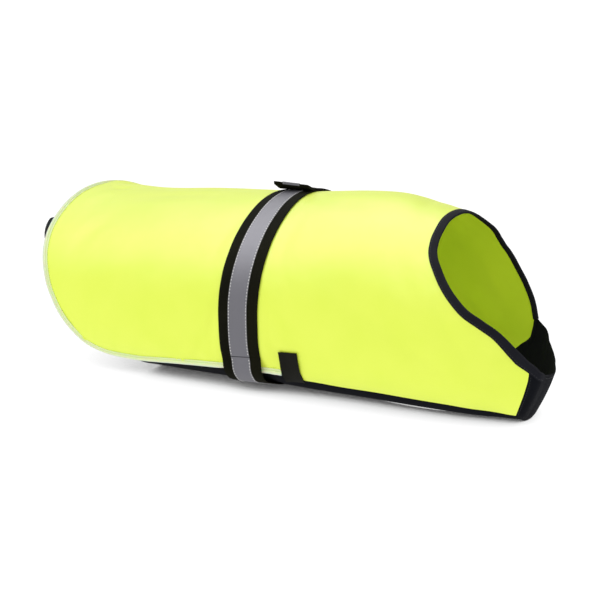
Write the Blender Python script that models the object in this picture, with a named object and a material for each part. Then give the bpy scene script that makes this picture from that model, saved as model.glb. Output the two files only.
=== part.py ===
"""Light-up safety vest for a dog, filled out as if worn and standing on its underside.

+X points to the neck, -X to the tail, +Y to the wearer's left and +Z up. The floor is Z = 0.

Every cloth piece is laid on one body surface, in ring coordinates: x runs along the back,
and the angle goes round the body from the spine, 0, down the right side to -180 under the
belly and on to -360 at the spine again. A piece's layer is its distance out from that
surface, so pieces that lie on each other share their points and never cross.
"""

import math
from collections import namedtuple
from functools import partial

import bmesh
import bpy
from mathutils import Vector

# The body that the vest is filled out to, measured from the middle of the belt.
Section = namedtuple("Section", "x half_width height sideways squareness")
SECTIONS = (                # squareness is the power of the curve under the belly
    Section(-0.260, 0.1247, 0.1730, 0.000, 3.5),
    Section(-0.190, 0.1236, 0.1702, 0.000, 3.5),
    Section(-0.100, 0.1164, 0.1749, 0.000, 3.5),
    Section(0.000, 0.1050, 0.1782, 0.000, 3.5),
    Section(0.100, 0.0888, 0.1845, -0.003, 3.5),
    Section(0.200, 0.0689, 0.1675, -0.010, 3.2),
    Section(0.262, 0.0447, 0.1600, -0.012, 2.8),
)
WIDEST_LEVEL = 0.46         # of a section's height
BACK_ROUNDNESS = 2.0        # power of the curve over the back, 2 is an ellipse
FLOOR_PRESS = 0.0008        # how far the floor presses the underside flat

# Cloth, webbing and gaps.
SEAM_GAP = 0.0003
FOLD_GAP = 0.0005
TUCK_GAP = 0.0010           # between the under panel's margins and the back panel over them
BUTT_GAP = 0.0007
CLOTH = 0.0012
WEBBING = 0.0012
TAPE = 0.0005
BINDING = 0.0008
BELT_WIDTH = 0.0395
TAPE_WIDTH = 0.0190
BINDING_WIDTH = 0.0076
BINDING_INSIDE = 0.0052     # the binding's folded edge and its leg inside the vest
PIPING_RADIUS = 0.0018
BELT_BED = 0.022            # half the length of underside that the belt lifts off the floor
BELT_BED_RAMP = 0.008
CHEST_ARCH = 0.0032         # how far the underside clears the floor between belt and chest
CHEST_ARCH_X = (0.020, 0.246)
CHEST_ARCH_RAMP = 0.026
PANEL_TUCK = 6.0            # degrees that the under panel reaches up inside the back panel

# The frame's origin is under the middle of the whole part's box.
CENTRE_X = -0.01568
CENTRE_Y = 0.0

# Edges of the back panel, in ring coordinates: metres and degrees.
Mark = namedtuple("Mark", "x angle")
TAIL_EDGE = (               # right lower corner, round the tail to the spine
    Mark(-0.1180, -119.1),
    Mark(-0.1374, -118.3),
    Mark(-0.1559, -116.9),
    Mark(-0.1722, -113.6),
    Mark(-0.1883, -107.0),
    Mark(-0.2047, -98.4),
    Mark(-0.2152, -89.6),
    Mark(-0.2229, -80.9),
    Mark(-0.2304, -71.8),
    Mark(-0.2364, -61.2),
    Mark(-0.2407, -47.2),
    Mark(-0.2440, -35.0),
    Mark(-0.2470, -20.0),
    Mark(-0.2485, 0.0),
)
RIGHT_LOWER_EDGE = (
    Mark(-0.1180, -119.1),
    Mark(-0.0730, -118.4),
    Mark(-0.0200, -118.4),
    Mark(0.0210, -120.1),
    Mark(0.0345, -121.2),
    Mark(0.0524, -127.4),
    Mark(0.0679, -129.0),
    Mark(0.0986, -132.2),
    Mark(0.1400, -134.2),
    Mark(0.1868, -137.4),
    Mark(0.2130, -142.3),
    Mark(0.2445, -149.6),
)
LEFT_LOWER_EDGE = (
    Mark(-0.1180, 119.1),
    Mark(0.0000, 118.8),
    Mark(0.1000, 123.0),
    Mark(0.2040, 131.0),
)
RIGHT_CHEST_EDGE = (
    Mark(0.2445, -149.6),
    Mark(0.2495, -140.2),
    Mark(0.2536, -131.0),
    Mark(0.2567, -117.0),
    Mark(0.2570, -105.0),
)
NECK_EDGE = (               # right corner, over the nape, to the left corner
    Mark(0.2570, -105.0),
    Mark(0.2458, -92.8),
    Mark(0.2332, -81.1),
    Mark(0.2208, -74.7),
    Mark(0.2078, -69.4),
    Mark(0.1963, -62.3),
    Mark(0.1880, -56.0),
    Mark(0.1803, -48.8),
    Mark(0.1743, -42.4),
    Mark(0.1714, -37.0),
    Mark(0.1703, -28.6),
    Mark(0.1706, -18.0),
    Mark(0.1722, -8.0),
    Mark(0.1748, 3.0),
    Mark(0.1789, 16.7),
    Mark(0.1890, 28.6),
    Mark(0.1934, 39.0),
    Mark(0.1998, 46.5),
    Mark(0.2067, 56.0),
    Mark(0.2146, 66.4),
    Mark(0.2207, 79.4),
    Mark(0.2242, 94.5),
)
LEFT_CHEST_EDGE = (
    Mark(0.2242, 94.5),
    Mark(0.2222, 111.0),
    Mark(0.2140, 122.0),
    Mark(0.2040, 131.0),
)

# Cells along the neck edge and along the chest band, and how many of the band's the neck
# binding runs on over.
NECK_STEPS = 40
CHEST_STEPS = 20
BINDING_PAST_SEAM = 3

# Places along the back where the back panel's rows run straight round the body.
STRAIGHT_START = -0.100
STRAIGHT_END = 0.130

# Under panel: its ends and the two openings for the front legs.
PANEL_REAR_X = -0.130
PANEL_FRONT = (
    Mark(0.2400, -120.0),
    Mark(0.2425, -135.0),
    Mark(0.2445, -149.6),
    Mark(0.2455, -162.0),
    Mark(0.2455, -172.0),
    Mark(0.2442, -186.0),
    Mark(0.2405, -198.0),
    Mark(0.2290, -212.0),
    Mark(0.2035, -229.0),
    Mark(0.1985, -240.0),
)
LEG_OPENING_MIDDLE_X = 0.132
LEG_OPENING_HALF_LENGTH = 0.060
LEG_OPENING_ANGLE = 28.0    # of its centre line, from straight down
LEG_OPENING_HALF_ANGLE = 14.5
MARGIN_STEPS = 4            # cells across the panel beside an opening
CENTRE_STEPS = 6            # and between the two openings

# Top rim of the chest band, between its two seams on the back panel.
RIGHT_RIM_STEPS = (Mark(0.2615, -109.5), Mark(0.2655, -115.0))
CHEST_RIM = (
    Vector((0.2675, -0.027, 0.0455)),
    Vector((0.2620, -0.006, 0.0490)),
    Vector((0.2540, 0.011, 0.0530)),
    Vector((0.2455, 0.027, 0.0580)),
    Vector((0.2370, 0.039, 0.0640)),
)
CHEST_BULGE = 0.0020
SEAM_FADE = 4               # power by which the seams' curves fade away from them

# Belly belt: how far its inner face lies out from the body, round the body.
BeltRow = namedtuple("BeltRow", "angle layer")
BELT_JOIN_ANGLE = -113.0    # where the back belt ends and the belly belt starts
BELT_JOIN_RADIUS = 0.100    # the body's radius there
BACK_BELT_END = 58.0
BELLY_BELT = (
    BeltRow(-113.0, 0.0015),
    BeltRow(-115.0, 0.0020),
    BeltRow(-118.5, 0.0043),
    BeltRow(-121.0, 0.0045),
    BeltRow(-125.0, 0.0042),
    BeltRow(-134.0, 0.0024),
    BeltRow(-150.0, 0.0003),
    BeltRow(-158.0, 0.0000),
    BeltRow(-202.0, 0.0000),
    BeltRow(-210.0, 0.0003),
    BeltRow(-226.0, 0.0024),
    BeltRow(-235.0, 0.0042),
    BeltRow(-239.0, 0.0045),
    BeltRow(-241.5, 0.0043),
    BeltRow(-246.0, 0.0020),
    BeltRow(-249.0, 0.0015),
    BeltRow(-290.0, 0.0015),
    BeltRow(-299.0, 0.0030),
    BeltRow(-344.0, 0.0030),
    BeltRow(-354.0, 0.0030),
    BeltRow(-358.0, 0.0035),
    BeltRow(-361.0, 0.0047),
    BeltRow(-365.0, 0.0073),
    BeltRow(-368.0, 0.0096),
)
BeltDrift = namedtuple("BeltDrift", "angle shift")
BELT_DRIFT = (              # how far the belt wanders along the back
    BeltDrift(60.0, -0.0010),
    BeltDrift(0.0, -0.0016),
    BeltDrift(-20.0, -0.0006),
    BeltDrift(-40.0, 0.0005),
    BeltDrift(-60.0, 0.0001),
    BeltDrift(-80.0, -0.0010),
    BeltDrift(-95.0, -0.0016),
    BeltDrift(-110.0, -0.0014),
    BeltDrift(-130.0, 0.0000),
    BeltDrift(-300.0, 0.0000),
    BeltDrift(-335.0, -0.0042),
    BeltDrift(-350.0, -0.0042),
    BeltDrift(-368.0, -0.0008),
)
BACK_TAPE_END = -3.0
RIGHT_TAPE_END = -142.0
LEFT_TAPE_START = -214.0
FREE_END_TWIST = 0.0010     # how much higher the free end's tail corner stands
FREE_END_ANGLES = (-354.0, -369.0)      # between which the twist comes in

# Light piping, label and tail strap.
PIPING_END_X = 0.0364
PIPING_LAST_STEP = 0.004    # least length of its last step before that end
PIPING_LAYER_OVER_PANEL = 0.0019
PIPING_LAYER_AT_TAIL = 0.0009
PIPING_LIFT_X = (-0.170, -0.140)        # between which it comes out over the under panel
LABEL_X = (0.0366, 0.0560)
LABEL_ANGLES = (-129.5, -110.5)
LABEL_THICKNESS = 0.0008
TAIL_STRAP_ANGLE = 52.0
TAIL_STRAP_BOW = 0.060
TAIL_STRAP_DROP = 0.030
TAIL_STRAP_LAYER = (-0.0020, -0.0026)   # where its inner end starts, and under the piping
TAIL_STRAP_WIDTH = 0.024
TAIL_STRAP_TUCK = 0.018
TAIL_STRAP_THICKNESS = 0.0012

# Soft hollows that the belt and the seams pull into the sides.
Dent = namedtuple("Dent", "x angle depth reach turn")
DENTS = (
    Dent(-0.050, -101.0, 0.0022, 0.022, 13.0),
    Dent(0.036, -114.0, 0.0022, 0.013, 7.0),
    Dent(-0.046, 102.0, 0.0020, 0.024, 13.0),
    Dent(0.040, 108.0, 0.0018, 0.015, 8.0),
    Dent(0.150, -88.0, 0.0014, 0.030, 10.0),
    Dent(0.228, -112.0, -0.0012, 0.018, 9.0),
)

Finish = namedtuple("Finish", "colour roughness metallic")
FLUORESCENT = Finish((0.80, 0.97, 0.13, 1.0), 0.62, 0.0)
BLACK_CLOTH = Finish((0.012, 0.013, 0.016, 1.0), 0.80, 0.0)
BLACK_WEBBING = Finish((0.010, 0.010, 0.010, 1.0), 0.70, 0.0)
BLACK_BINDING = Finish((0.022, 0.024, 0.030, 1.0), 0.75, 0.0)
REFLECTIVE_GREY = Finish((0.17, 0.17, 0.19, 1.0), 0.40, 0.2)
LIGHT_TUBE = Finish((0.86, 0.92, 0.88, 1.0), 0.25, 0.0)
WOVEN_LABEL = Finish((0.014, 0.014, 0.014, 1.0), 0.60, 0.0)


def smooth_line(points):
    """Return a function through (place, value) points that never overshoots them."""
    places = [place for place, _ in points]
    values = [value for _, value in points]
    steps = [after - before for before, after in zip(places, places[1:])]
    slopes = [(after - before) / step
              for before, after, step in zip(values, values[1:], steps)]
    tangents = [slopes[0]]
    for before, after in zip(slopes, slopes[1:]):
        turning = before * after <= 0.0
        tangents.append(0.0 if turning else 2.0 * before * after / (before + after))
    tangents.append(slopes[-1])

    def value_at(place):
        if place <= places[0]:
            return values[0] + tangents[0] * (place - places[0])
        if place >= places[-1]:
            return values[-1] + tangents[-1] * (place - places[-1])
        row = max(i for i, start in enumerate(places[:-1]) if start <= place)
        part = (place - places[row]) / steps[row]
        start = (1.0 + 2.0 * part) * (1.0 - part) ** 2 * values[row]
        end = part ** 2 * (3.0 - 2.0 * part) * values[row + 1]
        leave = part * (1.0 - part) ** 2 * steps[row] * tangents[row]
        arrive = part ** 2 * (part - 1.0) * steps[row] * tangents[row + 1]
        return start + end + leave + arrive

    return value_at


half_width_at = smooth_line([(s.x, s.half_width) for s in SECTIONS])
height_at = smooth_line([(s.x, s.height) for s in SECTIONS])
sideways_at = smooth_line([(s.x, s.sideways) for s in SECTIONS])
squareness_at = smooth_line([(s.x, s.squareness) for s in SECTIONS])
right_lower_at = smooth_line(RIGHT_LOWER_EDGE)
left_lower_at = smooth_line(LEFT_LOWER_EDGE)
panel_front_at = smooth_line([(-mark.angle, mark.x) for mark in PANEL_FRONT])
belly_belt_layer_at = smooth_line([(-row.angle, row.layer) for row in BELLY_BELT])
belt_drift_at = smooth_line([(-row.angle, row.shift) for row in BELT_DRIFT])


def ease(part):
    """Go smoothly from 0 to 1."""
    part = min(max(part, 0.0), 1.0)
    return part * part * (3.0 - 2.0 * part)


def underside_at(x):
    """Return the body surface's lowest level, lifted where the belt runs under it."""
    over_belt = 1.0 - ease((abs(x) - BELT_BED) / BELT_BED_RAMP)
    arch = ease((x - CHEST_ARCH_X[0]) / CHEST_ARCH_RAMP)
    arch *= ease((CHEST_ARCH_X[1] - x) / CHEST_ARCH_RAMP)
    return -SEAM_GAP + (WEBBING + SEAM_GAP) * over_belt + CHEST_ARCH * arch


def body_point(x, angle):
    """Return the body surface's point at a place along the back and an angle in degrees."""
    turn = math.radians(angle)
    across, up = math.sin(turn), math.cos(turn)
    width, height = half_width_at(x), height_at(x)
    middle = WIDEST_LEVEL * height
    floor = underside_at(x)
    power = BACK_ROUNDNESS if up > 0.0 else squareness_at(x)
    reach = height - middle if up > 0.0 else middle - floor + FLOOR_PRESS
    radius = (abs(across / width) ** power + abs(up / reach) ** power) ** (-1.0 / power)
    around = (angle + 180.0) % 360.0 - 180.0
    for dent in DENTS:
        off_centre = ((x - dent.x) / dent.reach) ** 2 + ((around - dent.angle) / dent.turn) ** 2
        radius -= dent.depth * math.exp(-off_centre)
    return Vector((x, sideways_at(x) + radius * across, max(middle + radius * up, floor)))


def body_slopes(x, angle):
    """Return how the body point moves per metre along the back and per degree of turn."""
    step_x, step_angle = 0.001, 0.5
    along = (body_point(x + step_x, angle) - body_point(x - step_x, angle)) / (2 * step_x)
    around = (body_point(x, angle + step_angle) - body_point(x, angle - step_angle))
    return along, around / (2 * step_angle)


def skin(x, angle, layer):
    """Return the point that lies a layer's distance out from the body surface."""
    along, around = body_slopes(x, angle)
    outward = along.cross(around).normalized()
    point = body_point(x, angle)
    if outward.dot(point - Vector((x, sideways_at(x), WIDEST_LEVEL * height_at(x)))) < 0.0:
        outward.negate()
    point += outward * layer
    point.z = max(point.z, 0.0)
    return point


def spread(start, end, count):
    """Return evenly spaced values from start to end."""
    return [start + (end - start) * i / count for i in range(count + 1)]


class Track:
    """A smooth line of marks, walked by its own length from 0 to 1."""

    def __init__(self, marks):
        lengths = [0.0]
        for before, after in zip(marks, marks[1:]):
            step = body_point(*after) - body_point(*before)
            lengths.append(lengths[-1] + step.length)
        self.length = lengths[-1]
        parts = [length / self.length for length in lengths]
        self.x_at = smooth_line([(part, mark.x) for part, mark in zip(parts, marks)])
        self.angle_at = smooth_line([(part, mark.angle) for part, mark in zip(parts, marks)])

    def mark(self, part):
        """Return the mark at a part of the way along."""
        return Mark(self.x_at(part), self.angle_at(part))

    def marks(self, count):
        """Return evenly spaced marks from one end to the other."""
        return [self.mark(part) for part in spread(0.0, 1.0, count)]


def mirrored(marks):
    """Return the marks of the other side, in the opposite order."""
    return tuple(Mark(mark.x, -mark.angle) for mark in reversed(marks))


def chained(*runs):
    """Join runs of marks end to end, leaving out the marks that they share."""
    marks = list(runs[0])
    for run in runs[1:]:
        marks.extend(run[1:])
    return marks


def inward_step(before, here, after, middle):
    """Return the x and angle that lead one metre from an edge into its piece."""
    along, around = body_slopes(*here)
    edge = body_point(*after) - body_point(*before)
    across = along.cross(around).cross(edge).normalized()
    aa, ab, bb = along.dot(along), along.dot(around), around.dot(around)
    ca, cb = across.dot(along), across.dot(around)
    scale = aa * bb - ab * ab
    step_x = (ca * bb - cb * ab) / scale
    step_angle = (cb * aa - ca * ab) / scale
    to_middle = along * (middle.x - here.x) + around * (middle.angle - here.angle)
    sign = 1.0 if across.dot(to_middle) > 0.0 else -1.0
    return sign * step_x, sign * step_angle


def beside_edge(here, step, inward, layer):
    """Return the point at a distance in from an edge's mark and a layer out."""
    return skin(here.x + step[0] * inward, here.angle + step[1] * inward, layer)


def edge_places(marks, middle):
    """Return, for each mark of an edge, the function from distance in and layer to a point."""
    places = []
    for i, here in enumerate(marks):
        before, after = marks[max(i - 1, 0)], marks[min(i + 1, len(marks) - 1)]
        places.append(partial(beside_edge, here, inward_step(before, here, after, middle)))
    return places


def add_material(thing, name, finish):
    """Give an object its own Principled material."""
    material = bpy.data.materials.new(name)
    material.use_nodes = True
    shader = material.node_tree.nodes["Principled BSDF"]
    shader.inputs["Base Color"].default_value = finish.colour
    shader.inputs["Roughness"].default_value = finish.roughness
    shader.inputs["Metallic"].default_value = finish.metallic
    material.diffuse_color = finish.colour
    thing.data.materials.append(material)


def add_object(name, data, finish):
    """Put a mesh or curve in the scene, with the part's origin under the middle of its box."""
    thing = bpy.data.objects.new(name, data)
    thing.location = (-CENTRE_X, -CENTRE_Y, 0.0)
    bpy.context.scene.collection.objects.link(thing)
    add_material(thing, name + "_finish", finish)
    return thing


def add_wall(name, inner, outer, finish, keep=lambda row, column: True):
    """Make one closed wall between two grids of points, without the cells that are not kept.

    Grid points that lie on each other are one point of the wall, so rows may meet.
    """
    places, numbers = {}, {}
    vertices = []
    for i, row in enumerate(outer):
        for j, point in enumerate(row):
            key = tuple(round(value, 7) for value in point)
            if key not in places:
                places[key] = len(vertices) // 2
                vertices += [point, inner[i][j]]
            numbers[i, j] = places[key]
    cells = []
    for i in range(len(outer) - 1):
        for j in range(len(outer[0]) - 1):
            corners = (numbers[i, j], numbers[i + 1, j], numbers[i + 1, j + 1], numbers[i, j + 1])
            if keep(i, j):
                cells.append(corners)
    sides = [(cell[k], cell[(k + 1) % 4]) for cell in cells for k in range(4)]
    rims = [side for side in sides if (side[1], side[0]) not in set(sides)]
    faces = [tuple(2 * number for number in cell) for cell in cells]
    faces += [tuple(2 * number + 1 for number in reversed(cell)) for cell in cells]
    faces += [(2 * b, 2 * a, 2 * a + 1, 2 * b + 1) for a, b in rims]
    mesh = bpy.data.meshes.new(name)
    mesh.from_pydata([tuple(vertex) for vertex in vertices], [], faces)
    shape = bmesh.new()
    shape.from_mesh(mesh)
    loose = [vertex for vertex in shape.verts if not vertex.link_faces]
    bmesh.ops.delete(shape, geom=loose, context="VERTS")
    bmesh.ops.recalc_face_normals(shape, faces=shape.faces)
    if shape.calc_volume(signed=True) < 0.0:
        bmesh.ops.reverse_faces(shape, faces=shape.faces)
    shape.to_mesh(mesh)
    shape.free()
    mesh.shade_smooth()
    mesh.set_sharp_from_angle(angle=math.radians(40.0))
    return add_object(name, mesh, finish)


def add_skin_wall(name, marks, inner_layer, outer_layer, finish, **options):
    """Make a wall on the body from a grid of marks, between two layers."""
    inner = [[skin(*mark, inner_layer(mark)) for mark in row] for row in marks]
    outer = [[skin(*mark, outer_layer(mark)) for mark in row] for row in marks]
    return add_wall(name, inner, outer, finish, **options)


def front_run(start, front, across, count):
    """Return the marks from the straight rows to the front edge, bent as the lower edges are."""
    right, left = RIGHT_CHEST_EDGE[0], LEFT_CHEST_EDGE[-1]
    marks = []
    for i in range(1, count + 1):
        part = i / count
        angle = start.angle + (front.angle - start.angle) * part
        for corner, lower_at, weight in ((right, right_lower_at, 1.0 - across),
                                         (left, left_lower_at, across)):
            level = lower_at(STRAIGHT_END)
            straight = level + (corner.angle - level) * part
            angle += (lower_at(start.x + (corner.x - start.x) * part) - straight) * weight
        marks.append(Mark(start.x + (front.x - start.x) * part, angle))
    return marks


def back_panel_marks(steps_tail=6, steps_straight=20, steps_front=6, steps_chest=4):
    """Fill the back panel's outline with rows from its tail edge to its front edge."""
    tail = Track(chained(TAIL_EDGE, mirrored(TAIL_EDGE)))
    fronts = Track(RIGHT_CHEST_EDGE).marks(steps_chest)
    fronts += Track(NECK_EDGE).marks(NECK_STEPS)[1:]
    fronts += Track(LEFT_CHEST_EDGE).marks(steps_chest)[1:]
    grid = []
    for j, front in enumerate(fronts):
        across = j / (len(fronts) - 1)
        rear = tail.mark(across)
        straight = []
        for i in range(steps_straight + 1):
            x = STRAIGHT_START + (STRAIGHT_END - STRAIGHT_START) * i / steps_straight
            right, left = right_lower_at(x), left_lower_at(x)
            straight.append(Mark(x, right + (left - right) * across))
        row = [Mark(rear.x + (straight[0].x - rear.x) * i / steps_tail,
                    rear.angle + (straight[0].angle - rear.angle) * i / steps_tail)
               for i in range(steps_tail)]
        grid.append(row + straight + front_run(straight[-1], front, across, steps_front))
    return grid


def make_back_panel():
    """Yellow panel over the back and down both sides, cut in one piece."""
    add_skin_wall("back_panel", back_panel_marks(), lambda mark: 0.0, lambda mark: CLOTH,
                  FLUORESCENT)


def leg_opening_half(x):
    """Return half the leg opening's height in degrees, 0 beyond its ends."""
    off_middle = (x - LEG_OPENING_MIDDLE_X) / LEG_OPENING_HALF_LENGTH
    return LEG_OPENING_HALF_ANGLE * math.sqrt(max(0.0, 1.0 - off_middle ** 2))


def under_panel_angles(x):
    """Return the panel's angles at a place along the back, from the right side to the left."""
    right = right_lower_at(min(x, RIGHT_CHEST_EDGE[0].x)) + PANEL_TUCK
    left = left_lower_at(min(x, LEFT_CHEST_EDGE[-1].x)) - PANEL_TUCK - 360.0
    half = leg_opening_half(x)
    right_margin, left_margin = right - 2.0 * PANEL_TUCK, left + 2.0 * PANEL_TUCK
    right_centre = min(-180.0 + LEG_OPENING_ANGLE, right_margin - 1.0)
    left_centre = -180.0 - LEG_OPENING_ANGLE
    half_steps = MARGIN_STEPS // 2
    return (spread(right, right_margin, half_steps)
            + spread(right_margin, right_centre + half, half_steps)[1:]
            + spread(right_centre - half, left_centre + half, CENTRE_STEPS)
            + spread(left_centre - half, left_margin, half_steps)
            + spread(left_margin, left, half_steps)[1:])


def under_panel_layer(mark):
    """Return the under panel's outer layer, sunk where it lies inside the back panel."""
    inside_right = (mark.angle - right_lower_at(mark.x)) / PANEL_TUCK
    inside_left = (left_lower_at(mark.x) - mark.angle - 360.0) / PANEL_TUCK
    return -SEAM_GAP - (TUCK_GAP - SEAM_GAP) * ease(1.0 + max(inside_right, inside_left))


def under_panel_marks(steps_rear=9, steps_opening=16, steps_front=4):
    """Return the panel's grid of marks, with its columns closest at the openings' ends."""
    start = LEG_OPENING_MIDDLE_X - LEG_OPENING_HALF_LENGTH
    end = LEG_OPENING_MIDDLE_X + LEG_OPENING_HALF_LENGTH
    bed_end = BELT_BED + BELT_BED_RAMP
    places = [PANEL_REAR_X + (-bed_end - PANEL_REAR_X) * i / steps_rear
              for i in range(steps_rear)]
    places += [-bed_end, -BELT_BED, 0.0, BELT_BED, bed_end, 0.5 * (bed_end + start)]
    places += [LEG_OPENING_MIDDLE_X - LEG_OPENING_HALF_LENGTH * math.cos(math.pi * i / steps_opening)
               for i in range(steps_opening + 1)]
    grid = [[Mark(x, angle) for angle in under_panel_angles(x)] for x in places]
    for i in range(1, steps_front + 1):
        part = i / steps_front
        widest_x = end + (RIGHT_CHEST_EDGE[0].x - end) * part
        grid.append([Mark(end + (panel_front_at(-angle) - BUTT_GAP - end) * part, angle)
                     for angle in under_panel_angles(widest_x)])
    return grid


def make_under_panel():
    """Black panel under the belly and chest, with an opening for each front leg."""
    openings = (MARGIN_STEPS, MARGIN_STEPS + CENTRE_STEPS + 1)
    add_skin_wall("under_panel", under_panel_marks(),
                  lambda mark: under_panel_layer(mark) - CLOTH, under_panel_layer, BLACK_CLOTH,
                  keep=lambda row, column: column not in openings)


class ChestSurface:
    """The chest band's inner face, between the back panel's two chest edges.

    Places on it are a part of the way from the right seam to the left one, and a part of the
    way up from its foot to its rim. A layer is a distance out from it.
    """

    def __init__(self):
        self.seams = (Track(RIGHT_CHEST_EDGE), Track(tuple(reversed(LEFT_CHEST_EDGE))))
        rim = [self.seam_point(0, 1.0)]
        rim += [skin(*mark, 0.0) for mark in RIGHT_RIM_STEPS]
        rim += list(CHEST_RIM) + [self.seam_point(1, 1.0)]
        lengths = [0.0]
        for before, after in zip(rim, rim[1:]):
            lengths.append(lengths[-1] + (after - before).length)
        self.rim_lines = [
            smooth_line([(length / lengths[-1], point[axis])
                         for length, point in zip(lengths, rim)])
            for axis in range(3)]

    def seam_point(self, side, up):
        """Return the point beside a seam, right 0 or left 1, at a part of the way up."""
        mark = self.seams[side].mark(up)
        return skin(mark.x + BUTT_GAP, mark.angle, 0.0)

    def foot_point(self, part):
        """Return the point of the foot that butts against the under panel's front edge."""
        angle = RIGHT_CHEST_EDGE[0].angle
        angle += (LEFT_CHEST_EDGE[-1].angle - 360.0 - angle) * part
        return skin(panel_front_at(-angle) + BUTT_GAP, angle, 0.0)

    def plain_point(self, part, up):
        """Return a point between foot and rim that keeps to the seam's curve at each side."""
        point = self.foot_point(part).lerp(Vector([line(part) for line in self.rim_lines]), up)
        for side, weight in ((0, (1.0 - part) ** SEAM_FADE), (1, part ** SEAM_FADE)):
            chord = self.seam_point(side, 0.0).lerp(self.seam_point(side, 1.0), up)
            point += (self.seam_point(side, up) - chord) * weight
        return point

    def point(self, part, up, layer):
        """Return the point at a layer out from the bulging surface."""
        step = 0.02
        start, end = max(part - step, 0.0), min(part + step, 1.0)
        along = self.plain_point(end, up) - self.plain_point(start, up)
        rise = self.plain_point(part, min(up + step, 1.0)) - self.plain_point(part, up - step)
        outward = along.cross(rise).normalized()
        bulge = CHEST_BULGE * math.sin(math.pi * part) * math.sin(math.pi * up)
        point = self.plain_point(part, up) + outward * (bulge + layer)
        point.z = max(point.z, 0.0)
        return point

    def below_rim(self, part, inward, layer):
        """Return the point at a distance down from the rim."""
        height = (self.plain_point(part, 1.0) - self.plain_point(part, 0.0)).length
        return self.point(part, 1.0 - inward / height, layer)


def make_chest_band(steps_up=8):
    """Black band round the front of the chest, between the back panel's two chest edges."""
    surface = ChestSurface()
    inner, outer = [
        [[surface.point(i / CHEST_STEPS, k / steps_up, layer) for k in range(steps_up + 1)]
         for i in range(CHEST_STEPS + 1)]
        for layer in (0.0, CLOTH)]
    add_wall("chest_band", inner, outer, BLACK_CLOTH)


def make_neck_binding():
    """Folded black binding over the neck edge, from on the chest band round to the left."""
    surface = ChestSurface()
    places = [partial(surface.below_rim, i / CHEST_STEPS)
              for i in range(BINDING_PAST_SEAM, -1, -1)]
    places += edge_places(Track(NECK_EDGE).marks(NECK_STEPS), Mark(0.0, 0.0))
    outer_layer, inner_layer = CLOTH + FOLD_GAP, -FOLD_GAP
    fold = -FOLD_GAP - BINDING
    outer_leg, inner_leg = fold + BINDING_WIDTH, fold + BINDING_INSIDE
    inside_path = ((outer_leg, outer_layer), (-FOLD_GAP, outer_layer),
                   (-FOLD_GAP, inner_layer), (inner_leg, inner_layer))
    outside_path = ((outer_leg, outer_layer + BINDING), (fold, outer_layer + BINDING),
                    (fold, inner_layer - BINDING), (inner_leg, inner_layer - BINDING))
    inner, outer = [[[place(*step) for step in path] for place in places]
                    for path in (inside_path, outside_path)]
    add_wall("neck_binding", inner, outer, BLACK_BINDING)


def piping_layer(mark):
    """Lift the piping over the under panel and let it in at the tail."""
    start, end = PIPING_LIFT_X
    over_panel = ease((mark.x - start) / (end - start))
    return PIPING_LAYER_AT_TAIL + (PIPING_LAYER_OVER_PANEL - PIPING_LAYER_AT_TAIL) * over_panel


def make_light_piping(steps=76):
    """Light tube along the lower edges behind the belt and round the tail."""
    right = [mark for mark in RIGHT_LOWER_EDGE if mark.x < PIPING_END_X - PIPING_LAST_STEP]
    left = [mark for mark in LEFT_LOWER_EDGE if mark.x < PIPING_END_X - PIPING_LAST_STEP]
    right.append(Mark(PIPING_END_X, right_lower_at(PIPING_END_X)))
    left.append(Mark(PIPING_END_X, left_lower_at(PIPING_END_X)))
    route = chained(tuple(reversed(right)), TAIL_EDGE, mirrored(TAIL_EDGE), left)
    marks = Track(route).marks(steps)
    beside = -(PIPING_RADIUS + SEAM_GAP)
    points = [place(beside, piping_layer(mark))
              for place, mark in zip(edge_places(marks, Mark(0.0, 0.0)), marks)]
    curve = bpy.data.curves.new("light_piping", "CURVE")
    curve.dimensions = "3D"
    line = curve.splines.new("POLY")
    line.points.add(len(points) - 1)
    for spot, point in zip(line.points, points):
        spot.co = (*point, 1.0)
    line.use_smooth = True
    curve.bevel_depth = PIPING_RADIUS
    curve.bevel_resolution = 2
    curve.use_fill_caps = True
    add_object("light_piping", curve, LIGHT_TUBE)


def strip_marks(angles, width, steps_across):
    """Return a grid of marks for a strip of webbing that runs round the body at the belt."""
    places = [width * (k / steps_across - 0.5) for k in range(steps_across + 1)]
    return [[Mark(x + belt_drift_at(-angle), angle) for x in places] for angle in angles]


def back_belt_layer(mark):
    """Return the back belt's inner layer."""
    return CLOTH + SEAM_GAP


def belly_belt_layer(mark):
    """Return the belly belt's inner layer, with its free end curled up at the spine."""
    start, end = FREE_END_ANGLES
    lift = ease((mark.angle - start) / (end - start))
    twist = FREE_END_TWIST * lift * (-mark.x / (0.5 * BELT_WIDTH))
    return belly_belt_layer_at(-mark.angle) + twist


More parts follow.
